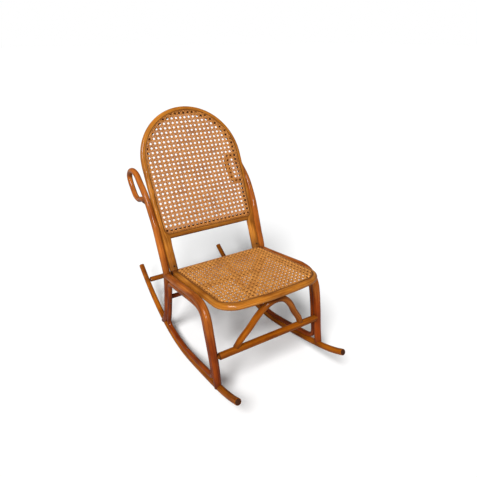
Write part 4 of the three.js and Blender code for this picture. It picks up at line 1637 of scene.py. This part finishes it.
    def weave_set(self, label: str, runs: list[np.ndarray], way: np.ndarray) -> None:
        """Draws one set of strands as curves with a flat section and makes them a mesh.

        Args:
            label: Name of the set.
            runs: Its strands.
            way: Their direction in the panel's plane.
        """
        lay_by_hand()
        bpy.ops.curve.primitive_bezier_circle_add(radius=1.0)
        profile = bpy.context.object
        half, thick = self.strand / 2, self.thickness / 2
        flat = self.flat_share * half
        shape = [(-half, 0), (-flat, thick), (flat, thick), (half, 0), (flat, -thick), (-flat, -thick)]
        self.redraw(profile, [np.column_stack([np.array(shape), np.zeros(len(shape))])], True)
        lay_by_hand()
        bpy.ops.curve.primitive_bezier_curve_add()
        strands = bpy.context.object
        strands.name = f"{self.name}_{label}"
        self.redraw(strands, runs, False)
        strands.data.twist_mode = "Z_UP"
        strands.data.bevel_mode = "OBJECT"
        strands.data.bevel_object = profile
        strands.data.use_fill_caps = True
        lay_by_hand(strands)
        bpy.ops.object.convert(target="MESH")
        strands = bpy.context.object
        strands.data.name = strands.name
        lay_by_hand(profile)
        bpy.ops.object.delete()
        point_outwards(strands)
        points = points_of(strands)
        side = np.array((way[1], -way[0]))
        across = points[:, :2] @ side
        lines = np.array(sorted({round(float(run[0, :2] @ side), 6) for run in runs}))
        nearest = np.argmin(np.abs(across[:, None] - lines[None]), axis=1)
        edge = (across - lines[nearest]) / half
        grain = np.stack([edge, nearest * self.tone_step + len(label), points[:, :2] @ way], axis=1)
        write_values(strands, "grain", grain)
        # Painted shade: the lower a point lies in the weave, the darker; the top strands stay clear.
        depth = (self.lift - points[:, 2]) / self.thickness
        grime = np.clip(self.dirt[0] + self.dirt[1] * depth, 0.0, self.dirtiest)
        write_values(strands, "grime", grime)
        for layer in list(strands.data.uv_layers):
            strands.data.uv_layers.remove(layer)
        put_in_place(strands, self.place)
        dress(strands, Slot.CANE, [self.node], [self.cane], self.smooth_angle)

    @staticmethod
    def redraw(curve: Piece, runs: Iterable[np.ndarray], ring: bool) -> None:
        """Replaces a curve's line with straight-sided runs.

        Args:
            curve: The curve.
            runs: Points of each run.
            ring: Whether the runs are closed and flat, as a section is.
        """
        curve.data.splines.clear()
        for run in runs:
            line = curve.data.splines.new("POLY")
            line.points.add(len(run) - 1)
            line.points.foreach_set("co", np.column_stack([run, np.ones(len(run))]).ravel())
            line.use_cyclic_u = ring
        curve.data.dimensions = "2D" if ring else "3D"

    def build(self) -> None:
        """Weaves the whole panel."""
        rising = unit(np.array((self.pitch[0], self.pitch[1])))
        falling = unit(np.array((self.pitch[0], -self.pitch[1])))
        self.weave_set("uprights", self.paired_runs(True), np.array((0.0, 1.0)))
        self.weave_set("crosswise", self.paired_runs(False), np.array((1.0, 0.0)))
        self.weave_set("rising", self.diagonals(1), rising)
        self.weave_set("falling", self.diagonals(-1), falling)


@dataclass
class Seat:
    """The bent seat frame, its rear rail, and the caned panel, in its own sloping plane."""

    finishes: Finishes
    depth: float = 0.450
    rear_setback: float = 0.0344
    front_setback: float = 0.035
    corner_radius: float = 0.086
    bow_radius: float = 1.1
    rear_along: float = 0.078
    rear_height: float = 0.3435
    thickness: float = 0.0248
    rail_width: float = 0.0275
    rail_end_gap: float = 0.0008
    slope: float = math.radians(8.75)
    edge_ease: float = 0.0018
    corner_steps: int = 18
    bow_steps: int = 12
    rear_corner_steps: int = 8
    round_points: int = 15
    side_points: int = 14
    rail_points: int = 24
    joint_inset: float = 0.012
    joint_dirt: Pair = (0.028, 0.8)
    hoop_foot_dirt: Pair = (0.03, 0.75)
    hoop_foot_shares: Pair = (0.97, 0.9)
    hoop_foot_along: float = -0.01
    groove: CaneGroove = field(default_factory=CaneGroove)

    @property
    def place(self) -> Matrix:
        """Place of the seat's plane: x across, y rearwards, z up from its top face."""
        origin = Matrix.Translation((0.0, self.rear_along, self.rear_height))
        return origin @ Matrix.Rotation(-self.slope, 4, "X")

    def half_width(self, y: float) -> float:
        """Half the seat's width at a place along it."""
        rear, front = PLAN.half_width - self.rear_setback, PLAN.half_width - self.front_setback
        return rear + (front - rear) * -y / self.depth

    def front_outline(self, inset: float) -> np.ndarray:
        """Front of the outline, from the right side round to the left.

        Args:
            inset: How far in from the frame's outer edge it lies.

        Returns:
            The points of the outline.
        """
        corner_x = self.half_width(self.corner_radius - self.depth) - self.corner_radius
        bow_y = self.bow_radius - self.depth
        reach = self.bow_radius - self.corner_radius
        corner_y = bow_y - math.sqrt(reach**2 - corner_x**2)
        bow = math.degrees(math.asin(corner_x / reach))
        radius = self.corner_radius - inset
        return np.vstack([
            arc((-corner_x, corner_y), radius, 180, 270 - bow, self.corner_steps),
            arc((0, bow_y), self.bow_radius - inset, 270 - bow, 270 + bow, self.bow_steps)[1:-1],
            arc((corner_x, corner_y), radius, 270 + bow, 360, self.corner_steps),
        ])

    @property
    def panel(self) -> np.ndarray:
        """Closed outline of the caned panel, along the groove's middle.

        Returns:
            The points of the outline.
        """
        inset, rear_corner = self.groove.inset, self.groove.corner
        rear_x = self.half_width(-inset) - inset - rear_corner
        rear_y = -inset - rear_corner
        return np.vstack([
            self.front_outline(inset),
            arc((rear_x, rear_y), rear_corner, 0, 90, self.rear_corner_steps),
            arc((-rear_x, rear_y), rear_corner, 90, 180, self.rear_corner_steps),
        ])

    def section(self) -> np.ndarray:
        """Section of the frame: half round outside, and flat with eased edges elsewhere.

        Returns:
            Its points, as height over the top face and distance inwards.
        """
        half, width, ease = self.thickness / 2, self.rail_width, self.edge_ease
        middle = EASE_MIDDLE * ease
        angles = np.linspace(math.pi, 2 * math.pi, self.round_points)
        outer = [(-half + half * math.cos(angle), half + half * math.sin(angle)) for angle in angles]
        inner = [(0, width - ease), (-middle, width - middle), (-ease, width)]
        low = [(ease - self.thickness, width), (middle - self.thickness, width - middle)]
        return np.array([*inner, *low, (-self.thickness, width - ease), *outer])

    def arch_crown(self, radius: float) -> np.ndarray:
        """Top of the front arch's centre line, under the front rail's inner edge."""
        spot = Vector((0.0, -self.depth + self.rail_width, -self.thickness - radius - PLAN.gap))
        return np.array(self.place @ spot)

    def build_frame(self) -> None:
        """Models and dresses the bent frame, which runs round three sides."""
        rear_y = -self.rail_width - PLAN.gap
        front = self.front_outline(0.0)
        rear = self.half_width(rear_y)
        right = np.linspace((-rear, rear_y, 0.0), front[0], self.side_points)
        left = np.linspace(front[-1], (rear, rear_y, 0.0), self.side_points)
        path = np.vstack([right[:-1], front, left[1:]])
        bend = extrude_rings("bent_seat_frame", sweep(path, Z_AXIS, self.section()))
        cut_away(bend, self.groove.cutter(self.panel))
        write_grain(bend, path, Z_AXIS)
        corner = self.half_width(0) - self.joint_inset
        # The panel outline adds painted shade on the wood under the cane web.
        write_grime(bend, [((x, rear_y, 0.0), *self.joint_dirt) for x in (-corner, corner)], self.panel)
        put_in_place(bend, self.place)
        dress(bend, Slot.HONEY, ["seat_frame"], [self.finishes.honey, self.finishes.sawn])

    def build_rear_rail(self) -> None:
        """Models and dresses the rear rail."""
        end = self.half_width(0) - self.rail_end_gap
        path = np.linspace((end, 0.0, 0.0), (-end, 0.0, 0.0), self.rail_points)
        rail = extrude_rings("seat_back_rail", sweep(path, Z_AXIS, self.section()))
        cut_away(rail, self.groove.cutter(self.panel))
        write_grain(rail, path, Z_AXIS)
        feet = [sign * self.half_width(0) * share for sign in (-1, 1) for share in self.hoop_foot_shares]
        marks = [((x, self.hoop_foot_along, 0.0), *self.hoop_foot_dirt) for x in feet]
        # The panel outline adds painted shade on the wood under the cane web.
        write_grime(rail, marks, self.panel)
        put_in_place(rail, self.place)
        dress(rail, Slot.HONEY, ["seat_rear_rail"], [self.finishes.frame, self.finishes.sawn])

    def build(self) -> None:
        """Builds the seat."""
        self.build_frame()
        self.build_rear_rail()
        self.groove.build_spline("seat_reed", self.panel, self.place, "seat_spline", self.finishes.reed)
        CaneWeave(
            "seat_weave",
            "seat_cane",
            self.finishes.seat_cane,
            self.panel,
            self.place,
            pitch=(0.01772, 0.01905),
            hole=(0.0, -0.2254),
            strand=0.0052,
            spacing=0.0065,
            thickness=0.0014,
            lift=0.0023,
            # Painted shade of the lower strands, deeper in the seat than in the back.
            dirt=(0.24, 1.15),
        ).build()


@dataclass
class Back:
    """The bent hoop, its lower rail, and the caned panel, in the reclined plane of the back.

    Heights are measured up the back from its origin, which lies below the place where the hoop's arch
    springs. The section's shares are given out of the front face and across the hoop.
    """

    finishes: Finishes
    recline: float = math.radians(26.57)
    origin_along: float = 0.221
    origin_height: float = 0.6519
    spring_height: float = 0.083
    side_setback: float = 0.0407
    foot_side_setback: float = 0.0525
    foot_drop: float = 0.362
    foot_setback: float = 0.0046
    width: float = 0.031
    thickness: float = 0.0248
    foot_width: float = 0.035
    foot_depth: float = 0.030
    slimmed: float = 0.0085
    slim_from: float = -0.03
    slim_run: float = 0.03
    round_by: float = 0.35
    rail_drop: float = 0.2172
    rail_height: float = 0.0355
    rail_fillet: float = 0.020
    rail_bite: float = 0.002
    rail_edge: float = 0.0085
    rail_edge_steps: int = 7
    rail_points: int = 24
    leg_points: int = 46
    arch_steps: int = 64
    outline_steps: int = 60
    outline_points: int = 12
    corner_steps: int = 8
    fillet_steps: int = 10
    foot_dirt: Pair = (0.03, 0.75)
    foot_dirt_lift: float = 0.008
    foot_dirt_stations: tuple[int, ...] = (2, -3)
    joint_dirt: Pair = (0.022, 0.4)
    rail_end_dirt: Pair = (0.03, 0.5)
    rail_end_share: float = 0.93
    groove: CaneGroove = field(default_factory=CaneGroove)
    section_shares: Shares = (
        (1, -0.5), (1, 0.92), (0.85, 1), (-0.4, 1), (-0.85, 0.8), (-1, 0.45), (-1, -0.4), (-0.75, -0.82),
        (-0.3, -1), (0.4, -1), (0.8, -0.8),
    )

    @property
    def place(self) -> Matrix:
        """Place of the back's plane: x across, y up the back, z out of its front face."""
        origin = Matrix.Translation((0.0, self.origin_along, self.origin_height))
        return origin @ Matrix.Rotation(math.pi / 2 - self.recline, 4, "X")

    @property
    def axis_radius(self) -> float:
        """Radius of the hoop's centre line round the top."""
        return PLAN.half_width - self.side_setback

    @staticmethod
    def ease_between(low: float, high: float, value: float) -> float:
        """Soft step from 0 to 1 between two values."""
        share = min(1.0, max(0.0, (value - low) / (high - low)))
        return share * share * (3 - 2 * share)

    def half_span(self, y: float) -> float:
        """Half the distance between the hoop's legs."""
        foot = PLAN.half_width - self.foot_side_setback
        return foot + (self.axis_radius - foot) * self.ease_between(-self.foot_drop, self.spring_height, y)

    def full_width(self, y: float) -> float:
        """The hoop's width in the plane of the back, before it is slimmed beside the panel."""
        share = self.ease_between(-self.rail_drop, self.spring_height, y)
        return self.foot_width + (self.width - self.foot_width) * share

    def slimmed_at(self, y: float) -> float:
        """What is pared off the hoop's inner edge between the arch and the lower rail.

        Args:
            y: Height up the back.

        Returns:
            The width that is pared off.
        """
        below_arch = self.ease_between(self.spring_height, self.slim_from, y)
        above_rail = self.ease_between(-self.rail_drop, self.slim_run - self.rail_drop, y)
        return self.slimmed * below_arch * above_rail

    def width_at(self, y: float) -> float:
        """The hoop's width in the plane of the back."""
        return self.full_width(y) - self.slimmed_at(y)

    def below_rail(self, y: float) -> float:
        """Share of the way from the lower rail down to the foot."""
        return min(1.0, max(0.0, (-y - self.rail_drop) / (self.foot_drop - self.rail_drop)))

    def outer(self, y: float) -> float:
        """Half the width over the hoop."""
        return self.half_span(y) + self.full_width(y) / 2

    def path(self) -> np.ndarray:
        """Centre line of the hoop, from the left foot over the top to the right foot.

        Returns:
            The points of the centre line.
        """
        heights = np.linspace(-self.foot_drop, self.spring_height, self.leg_points)[:-1]
        left = np.array([(self.outer(y) - self.width_at(y) / 2, y, 0.0) for y in heights])
        over = arc((0, self.spring_height), self.axis_radius, 0, 180, self.arch_steps)
        line = np.vstack([left, over, (left * (-1, 1, 1))[::-1]])
        line[:, 2] = [-self.thickness / 2 - self.below_rail(y) * self.foot_setback for y in line[:, 1]]
        return line

    def sections(self, path: np.ndarray, spare: float) -> np.ndarray:
        """Section at each point: flat in front, round outside, and rounder in the legs below the rail.

        Args:
            path: Points of the hoop's centre line.
            spare: How much larger than the hoop the section is all round.

        Returns:
            One section for each point.
        """
        flat = eased(self.section_shares)
        angles = np.arctan2(flat[:, 1], flat[:, 0])
        full_round = np.stack([np.cos(angles), np.sin(angles)], axis=1)
        made = []
        for y in path[:, 1]:
            below = self.below_rail(y)
            deepened = (self.foot_depth - self.thickness) * min(1.0, 2 * below)
            half_thick = (self.thickness + deepened) / 2 + spare
            half_width = self.width_at(y) / 2 + spare
            round_share = self.ease_between(0.0, self.round_by, below)
            shape = flat * (1 - round_share) + round_share * full_round
            made.append(shape * (half_thick, half_width))
        return np.array(made)

    def solid(self, name: str, spare: float) -> Piece:
        """The whole hoop as one bent stick."""
        path = self.path()
        return extrude_rings(name, sweep(path, Z_AXIS, self.sections(path, spare)))

    @property
    def panel(self) -> np.ndarray:
        """Closed outline of the caned panel, along the groove's middle.

        Returns:
            The points of the outline.
        """
        inset, corner = self.groove.inset, self.groove.corner
        radius = self.axis_radius + self.width / 2 - inset
        bottom = inset - self.rail_drop
        corner_x = self.outer(bottom) - inset - corner
        heights = np.linspace(self.spring_height, bottom + corner, self.outline_points)[1:-1]
        left = np.array([(-(self.outer(y) - inset), y, 0.0) for y in heights])
        return np.vstack([
            arc((0, self.spring_height), radius, 0, 180, self.outline_steps),
            left,
            arc((-corner_x, bottom + corner), corner, 180, 270, self.corner_steps),
            arc((corner_x, bottom + corner), corner, 270, 360, self.corner_steps),
            (left * (-1, 1, 1))[::-1],
        ])

    def build_hoop(self) -> None:
        """Models and dresses the hoop, which stands on the seat's rear rail."""
        hoop = self.solid("bent_back_hoop", 0.0)
        path = self.path()
        cut_away(hoop, self.groove.cutter(self.panel))
        write_grain(hoop, path, Z_AXIS)
        spots = path[list(self.foot_dirt_stations)] + (0, self.foot_dirt_lift, 0)
        feet = [(spot, *self.foot_dirt) for spot in spots]
        span = self.half_span(-self.rail_drop)
        joints = [((x, -self.rail_drop, 0.0), *self.joint_dirt) for x in (-span, span)]
        # The panel outline adds painted shade on the wood under the cane web.
        write_grime(hoop, [*feet, *joints], self.panel)
        put_in_place(hoop, self.place)
        dress(hoop, Slot.HONEY, ["back_hoop"], [self.finishes.honey, self.finishes.sawn])

    def round_bottom(self, rail: Piece, least: float) -> None:
        """Rounds the two long edges under the lower rail.

        Args:
            rail: The rail.
            least: Length that only those edges are longer than.
        """
        lay_by_hand(rail)
        bpy.ops.object.mode_set(mode="EDIT")
        bpy.ops.mesh.select_mode(type="EDGE")
        bpy.ops.mesh.select_all(action="DESELECT")
        work = bmesh.from_edit_mesh(rail.data)
        for edge in work.edges:
            low = all(abs(corner.co.y + self.rail_drop) < HAIR for corner in edge.verts)
            edge.select_set(low and abs(edge.verts[0].co.x - edge.verts[1].co.x) > least)
        bmesh.update_edit_mesh(rail.data)
        bpy.ops.mesh.bevel(
            offset=self.rail_edge,
            segments=self.rail_edge_steps,
            profile=0.5,
            affect="EDGES",
            clamp_overlap=True,
        )
        bpy.ops.object.mode_set(mode="OBJECT")

    def build_rail(self) -> None:
        """Models and dresses the lower rail, filleted into the hoop."""
        end = self.half_span(-self.rail_drop)
        top = self.rail_height - self.rail_drop
        rise = top + self.rail_fillet
        inner = self.outer(rise) - self.width_at(rise) - self.rail_fillet + self.rail_bite
        shape = np.vstack([
            [(-end, -self.rail_drop, 0.0), (end, -self.rail_drop, 0.0), (end, rise, 0.0)],
            arc((inner, rise), self.rail_fillet, 0, -90, self.fillet_steps),
            arc((-inner, rise), self.rail_fillet, -90, -180, self.fillet_steps),
            [(-end, rise, 0.0)],
        ])
        rings = np.stack([shape, shape - (0.0, 0.0, self.thickness)])
        rail = extrude_rings("back_bottom_rail", rings)
        self.round_bottom(rail, end)
        cut_away(rail, self.solid("hoop_seat", PLAN.gap / 2))
        cut_away(rail, self.groove.cutter(self.panel))
        middle = (top - self.rail_height / 2, -self.thickness / 2)
        path = np.linspace((-end, *middle), (end, *middle), self.rail_points)
        write_grain(rail, path, Z_AXIS)
        ends = [(sign * end * self.rail_end_share, -self.rail_drop, 0.0) for sign in (-1, 1)]
        # The panel outline adds painted shade on the wood under the cane web.
        write_grime(rail, [(spot, *self.rail_end_dirt) for spot in ends], self.panel)
        put_in_place(rail, self.place)
        dress(rail, Slot.HONEY, ["back_lower_rail"], [self.finishes.honey])

    def build(self) -> None:
        """Builds the back."""
        self.build_hoop()
        self.build_rail()
        self.groove.build_spline("back_reed", self.panel, self.place, "back_spline", self.finishes.reed)
        CaneWeave(
            "back_weave",
            "back_cane",
            self.finishes.back_cane,
            self.panel,
            self.place,
            pitch=(0.01905, 0.01848),
            hole=(-0.00114, 0.0),
        ).build()


@dataclass
class Fittings:
    """Slotted screw heads that hold the bent parts together, and the plugs over the hoop's foot screws."""

    finishes: Finishes
    head_radius: float = 0.0033
    head_rise: float = 0.0013
    shank: float = 0.0016
    slot_width: float = 0.0008
    plug_radius: float = 0.0042
    plug_rise: float = 0.0009
    plug_up: float = 0.034
    plug_turn: float = 0.4
    screw_turn: float = 0.9
    head_sides: int = 20
    smooth_angle: float = 35.0
    root_shares: tuple[Pair, ...] = ((0.5, 1.0), (0.96, 0.2))
    dome_shares: tuple[Pair, ...] = ((1.0, 0.0), (0.96, 0.3), (0.84, 0.62), (0.58, 0.88), (0.2, 1.0))
    loop_spots: tuple[Pair, ...] = ((-0.30, 0.22), (-0.12, 0.33), (0.085, 0.19), (-0.06, 0.035))

    def turn_head(self, name: str, radius: float, rise: float, root: float) -> Piece:
        """Turns one domed head on a short shank, standing on the plane z = 0.

        Args:
            name: Name of the piece.
            radius: Its radius.
            rise: Height of the dome.
            root: Depth of the shank in the wood.

        Returns:
            The head.
        """
        profile = [(size * radius, -down * root) for size, down in self.root_shares]
        profile += [(size * radius, up * rise) for size, up in self.dome_shares]
        around = circle(self.head_sides)
        rings = np.array([[(size * u, size * v, up) for u, v in around] for size, up in profile])
        return extrude_rings(name, rings)

    def slotted_head(self) -> Piece:
        """The pattern of all screw heads, with its slot cut.

        Returns:
            The pattern.
        """
        head = self.turn_head("screw_pattern", self.head_radius, self.head_rise, self.shank)
        lay_by_hand()
        blade = (self.slot_width, 3 * self.head_radius, self.head_rise)
        bpy.ops.mesh.primitive_cube_add(size=1.0, location=(0.0, 0.0, self.head_rise), scale=blade)
        cut_away(head, bpy.context.object)
        return head

    @staticmethod
    def fit(pattern: Piece, name: str, spot: np.ndarray, outward: np.ndarray, turn: float) -> Piece:
        """Sets a copy of a pattern on the wood.

        Args:
            pattern: The piece to copy.
            name: Name of the copy.
            spot: Point of the wood's surface.
            outward: Direction out of the wood.
            turn: How far the head is turned.

        Returns:
            The copy, with its own mesh.
        """
        piece = pattern.copy()
        piece.data = pattern.data.copy()
        piece.name = piece.data.name = name
        bpy.context.scene.collection.objects.link(piece)
        aim = Vector(outward).to_track_quat("Z", "Y").to_matrix().to_4x4()
        put_in_place(piece, Matrix.Translation(tuple(spot)) @ aim @ Matrix.Rotation(turn, 4, "Z"))
        return piece

    def side_screws(
        self, side: Side, rockers: Rockers, frames: SideFrames
    ) -> Iterator[tuple[str, np.ndarray, np.ndarray]]:
        """The screws of one side frame.

        Args:
            side: Which side.
            rockers: The rockers.
            frames: The side frames.

        Yields:
            Name of each screw, its place on the wood and its direction.
        """
        ring = frames.loop_path(side, rockers)
        _, inward = section_axes(ring, X_AXIS, closed=True)
        for index, spot in enumerate(self.loop_spots):
            nearest = int(np.argmin(np.linalg.norm(ring[:, 1:] - np.array(spot), axis=1)))
            facing = inward[nearest] * np.sign(inward[nearest] @ (ring.mean(axis=0) - ring[nearest]))
            yield f"loop_screw_{side.label}_{index}", ring[nearest] + facing * frames.loop_radius, facing
        rocker, ways = rockers.path(side), directions(rockers.path(side))
        for label, line in (("leg", frames.leg_path(side)), ("post", frames.post_path(side))):
            index, place = crossing(rocker, 1, line[0][1])
            down = -unit(np.cross(X_AXIS, ways[index]))
            size = rockers.taper.at(index / (len(rocker) - 1))
            yield f"{label}_foot_screw_{side.label}", place + down * size, down
        post = frames.post_path(side)
        index, place = crossing(post, 2, post[-1][2])
        front = -section_axes(post, X_AXIS)[1][index]
        front *= -np.sign(front[1])
        size = frames.post_taper.at(index / (len(post) - 1))
        yield f"crook_screw_{side.label}", place + front * size, front

    def build(
        self, rockers: Rockers, frames: SideFrames, back: Back, crown: tuple[np.ndarray, np.ndarray]
    ) -> None:
        """Fits every screw head and plug.

        Args:
            rockers: The rockers.
            frames: The side frames.
            back: The back.
            crown: Place and direction of the screw in the arch's crown.
        """
        pattern = self.slotted_head()
        screws = [screw for side in Side for screw in self.side_screws(side, rockers, frames)]
        screws.append(("crown_screw", *crown))
        for index, (name, spot, outward) in enumerate(screws):
            head = self.fit(pattern, name, spot, outward, self.screw_turn * index)
            dress(head, Slot.FRAME, [], [self.finishes.steel], self.smooth_angle)
        plug = self.turn_head("plug_pattern", self.plug_radius, self.plug_rise, self.shank)
        write_values(plug, "grain", points_of(plug))
        up = self.plug_up - back.foot_drop
        front = back.foot_depth / 2 - back.thickness / 2 - back.below_rail(up) * back.foot_setback
        outward = np.array(back.place.to_3x3() @ Vector((0.0, 0.0, 1.0)))
        for side in Side:
            spot = np.array(back.place @ Vector((side.value * back.half_span(up), up, front)))
            piece = self.fit(plug, f"foot_plug_{side.label}", spot, outward, self.plug_turn)
            dress(piece, Slot.HONEY, [], [self.finishes.sawn], self.smooth_angle)
        lay_by_hand(pattern)
        plug.select_set(True)
        bpy.ops.object.delete()


@dataclass(frozen=True)
class Lamp:
    """One broad soft lamp, far enough away to light the whole floor evenly.

    Its breadth is how broad it looks from the chair, in degrees.
    """

    name: str
    comes_from: Triple
    breadth: float
    strength: float
    distance: float = 4.0

    def hang(self) -> None:
        """Adds the lamp, turned towards the chair."""
        lay_by_hand()
        place = tuple(self.distance * part for part in self.comes_from)
        bpy.ops.object.light_add(type="SUN", location=place)
        lamp = bpy.context.object
        lamp.name = self.name
        lamp.data.angle = math.radians(self.breadth)
        lamp.data.energy = self.strength
        lamp.rotation_euler = (-Vector(self.comes_from)).to_track_quat("-Z", "Y").to_euler()


@dataclass
class Studio:
    """Pale floor, soft light and the camera.

    The floor has one grey for the camera and a darker one for the light that it throws back.
    """

    eye: Triple = (-0.7423, -1.3162, 1.1824)
    right: Triple = (0.85392, -0.52041, 0.0)
    upward: Triple = (0.22924, 0.37615, 0.89775)
    ahead: Triple = (0.4672, 0.76661, -0.4405)
    lens: float = 31.706
    sensor_width: float = 36.0
    shift: Pair = (-0.0009, 0.0099)
    nearest: float = 0.05
    furthest: float = 200.0
    surroundings_light: float = 0.17
    floor_size: float = 120.0
    floor_grey: float = 0.40
    seen_floor_grey: float = 0.88
    seen_floor_glow: float = 0.06
    lamps: tuple[Lamp, ...] = (
        Lamp("key_softbox", (-0.512, -0.414, 0.753), breadth=22.0, strength=3.0),
        Lamp("front_softbox", (-0.42, -0.76, 0.49), breadth=9.0, strength=1.5),
    )

    def set_camera(self) -> None:
        """Sets the camera where the photograph was taken."""
        lay_by_hand()
        bpy.ops.object.camera_add(location=self.eye)
        camera = bpy.context.object
        turn = Matrix((self.right, self.upward, tuple(-part for part in self.ahead))).transposed()
        camera.rotation_euler = turn.to_euler()
        camera.data.sensor_width = self.sensor_width
        camera.data.lens = self.lens
        camera.data.shift_x, camera.data.shift_y = self.shift
        camera.data.clip_start = self.nearest
        camera.data.clip_end = self.furthest
        bpy.context.scene.camera = camera

    def light_world(self) -> None:
        """White surroundings, seen at full strength and lighting the chair at a lower one."""
        world = bpy.data.worlds.new("white_surroundings")
        bpy.context.scene.world = world
        world.use_nodes = True
        tree = world.node_tree
        background = tree.nodes["Background"]
        background.inputs["Color"].default_value = (*WHITE, 1.0)
        paths = tree.nodes.new("ShaderNodeLightPath")
        strength = tree.nodes.new("ShaderNodeMapRange")
        strength.inputs["To Min"].default_value = self.surroundings_light
        strength.inputs["To Max"].default_value = 1.0
        tree.links.new(paths.outputs["Is Camera Ray"], strength.inputs["Value"])
        tree.links.new(strength.outputs["Result"], background.inputs["Strength"])

    def lay_floor(self) -> None:
        """Pale floor that shows white where it is lit and keeps the chair's shadow."""
        lay_by_hand()
        bpy.ops.mesh.primitive_plane_add(size=self.floor_size, location=(0.0, 0.0, 0.0))
        floor = bpy.context.object
        floor.name = "studio_floor"
        bench = NodeBench("pale_floor")
        bench.fix("Roughness", 1.0)
        bench.fix("Specular IOR Level", 0.0)
        bench.fix("Emission Color", (*WHITE, 1.0))
        seen = bench.node("LightPath").outputs["Is Camera Ray"]
        greys = [(0.0, (self.floor_grey,) * 3), (1.0, (self.seen_floor_grey,) * 3)]
        bench.feed(bench.ramp(seen, greys), "Base Color")
        bench.feed(bench.spread(seen, (0.0, 1.0), (0.0, self.seen_floor_glow)), "Emission Strength")
        floor.data.materials.append(bench.material)

    def build(self) -> None:
        """Sets up the whole studio."""
        bpy.context.scene.view_settings.view_transform = "Standard"
        self.set_camera()
        self.light_world()
        self.lay_floor()
        for lamp in self.lamps:
            lamp.hang()


def dress_dowels(finishes: Finishes) -> None:
    """Gives the two hidden seat dowels the seat's wood.

    Args:
        finishes: The chair's materials.
    """
    for side in Side:
        dowel = frame["nodes"][f"seat_dowel_{side.label}"]
        for place in dowel.material_slots:
            place.material = finishes.honey


def main() -> None:
    """Builds the chair and its studio."""
    logging.basicConfig(level=logging.INFO, format="%(message)s")
    finishes = Finishes()
    rockers, frames, bars = Rockers(finishes), SideFrames(finishes), CrossBars(finishes)
    seat, back = Seat(finishes), Back(finishes)
    on_frames, on_rockers = bars.entry_marks(rockers, frames)
    rockers.build(on_rockers)
    frames.build(rockers, on_frames)
    crown = seat.arch_crown(bars.arch_radius)
    crown_screw = (crown - (0.0, 0.0, bars.arch_radius), -Z_AXIS)
    bars.build(rockers, frames, crown)
    seat.build()
    back.build()
    Fittings(finishes).build(rockers, frames, back, crown_screw)
    dress_dowels(finishes)
    Studio().build()
    lay_by_hand()
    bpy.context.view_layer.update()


if __name__ == "__main__":
    main()
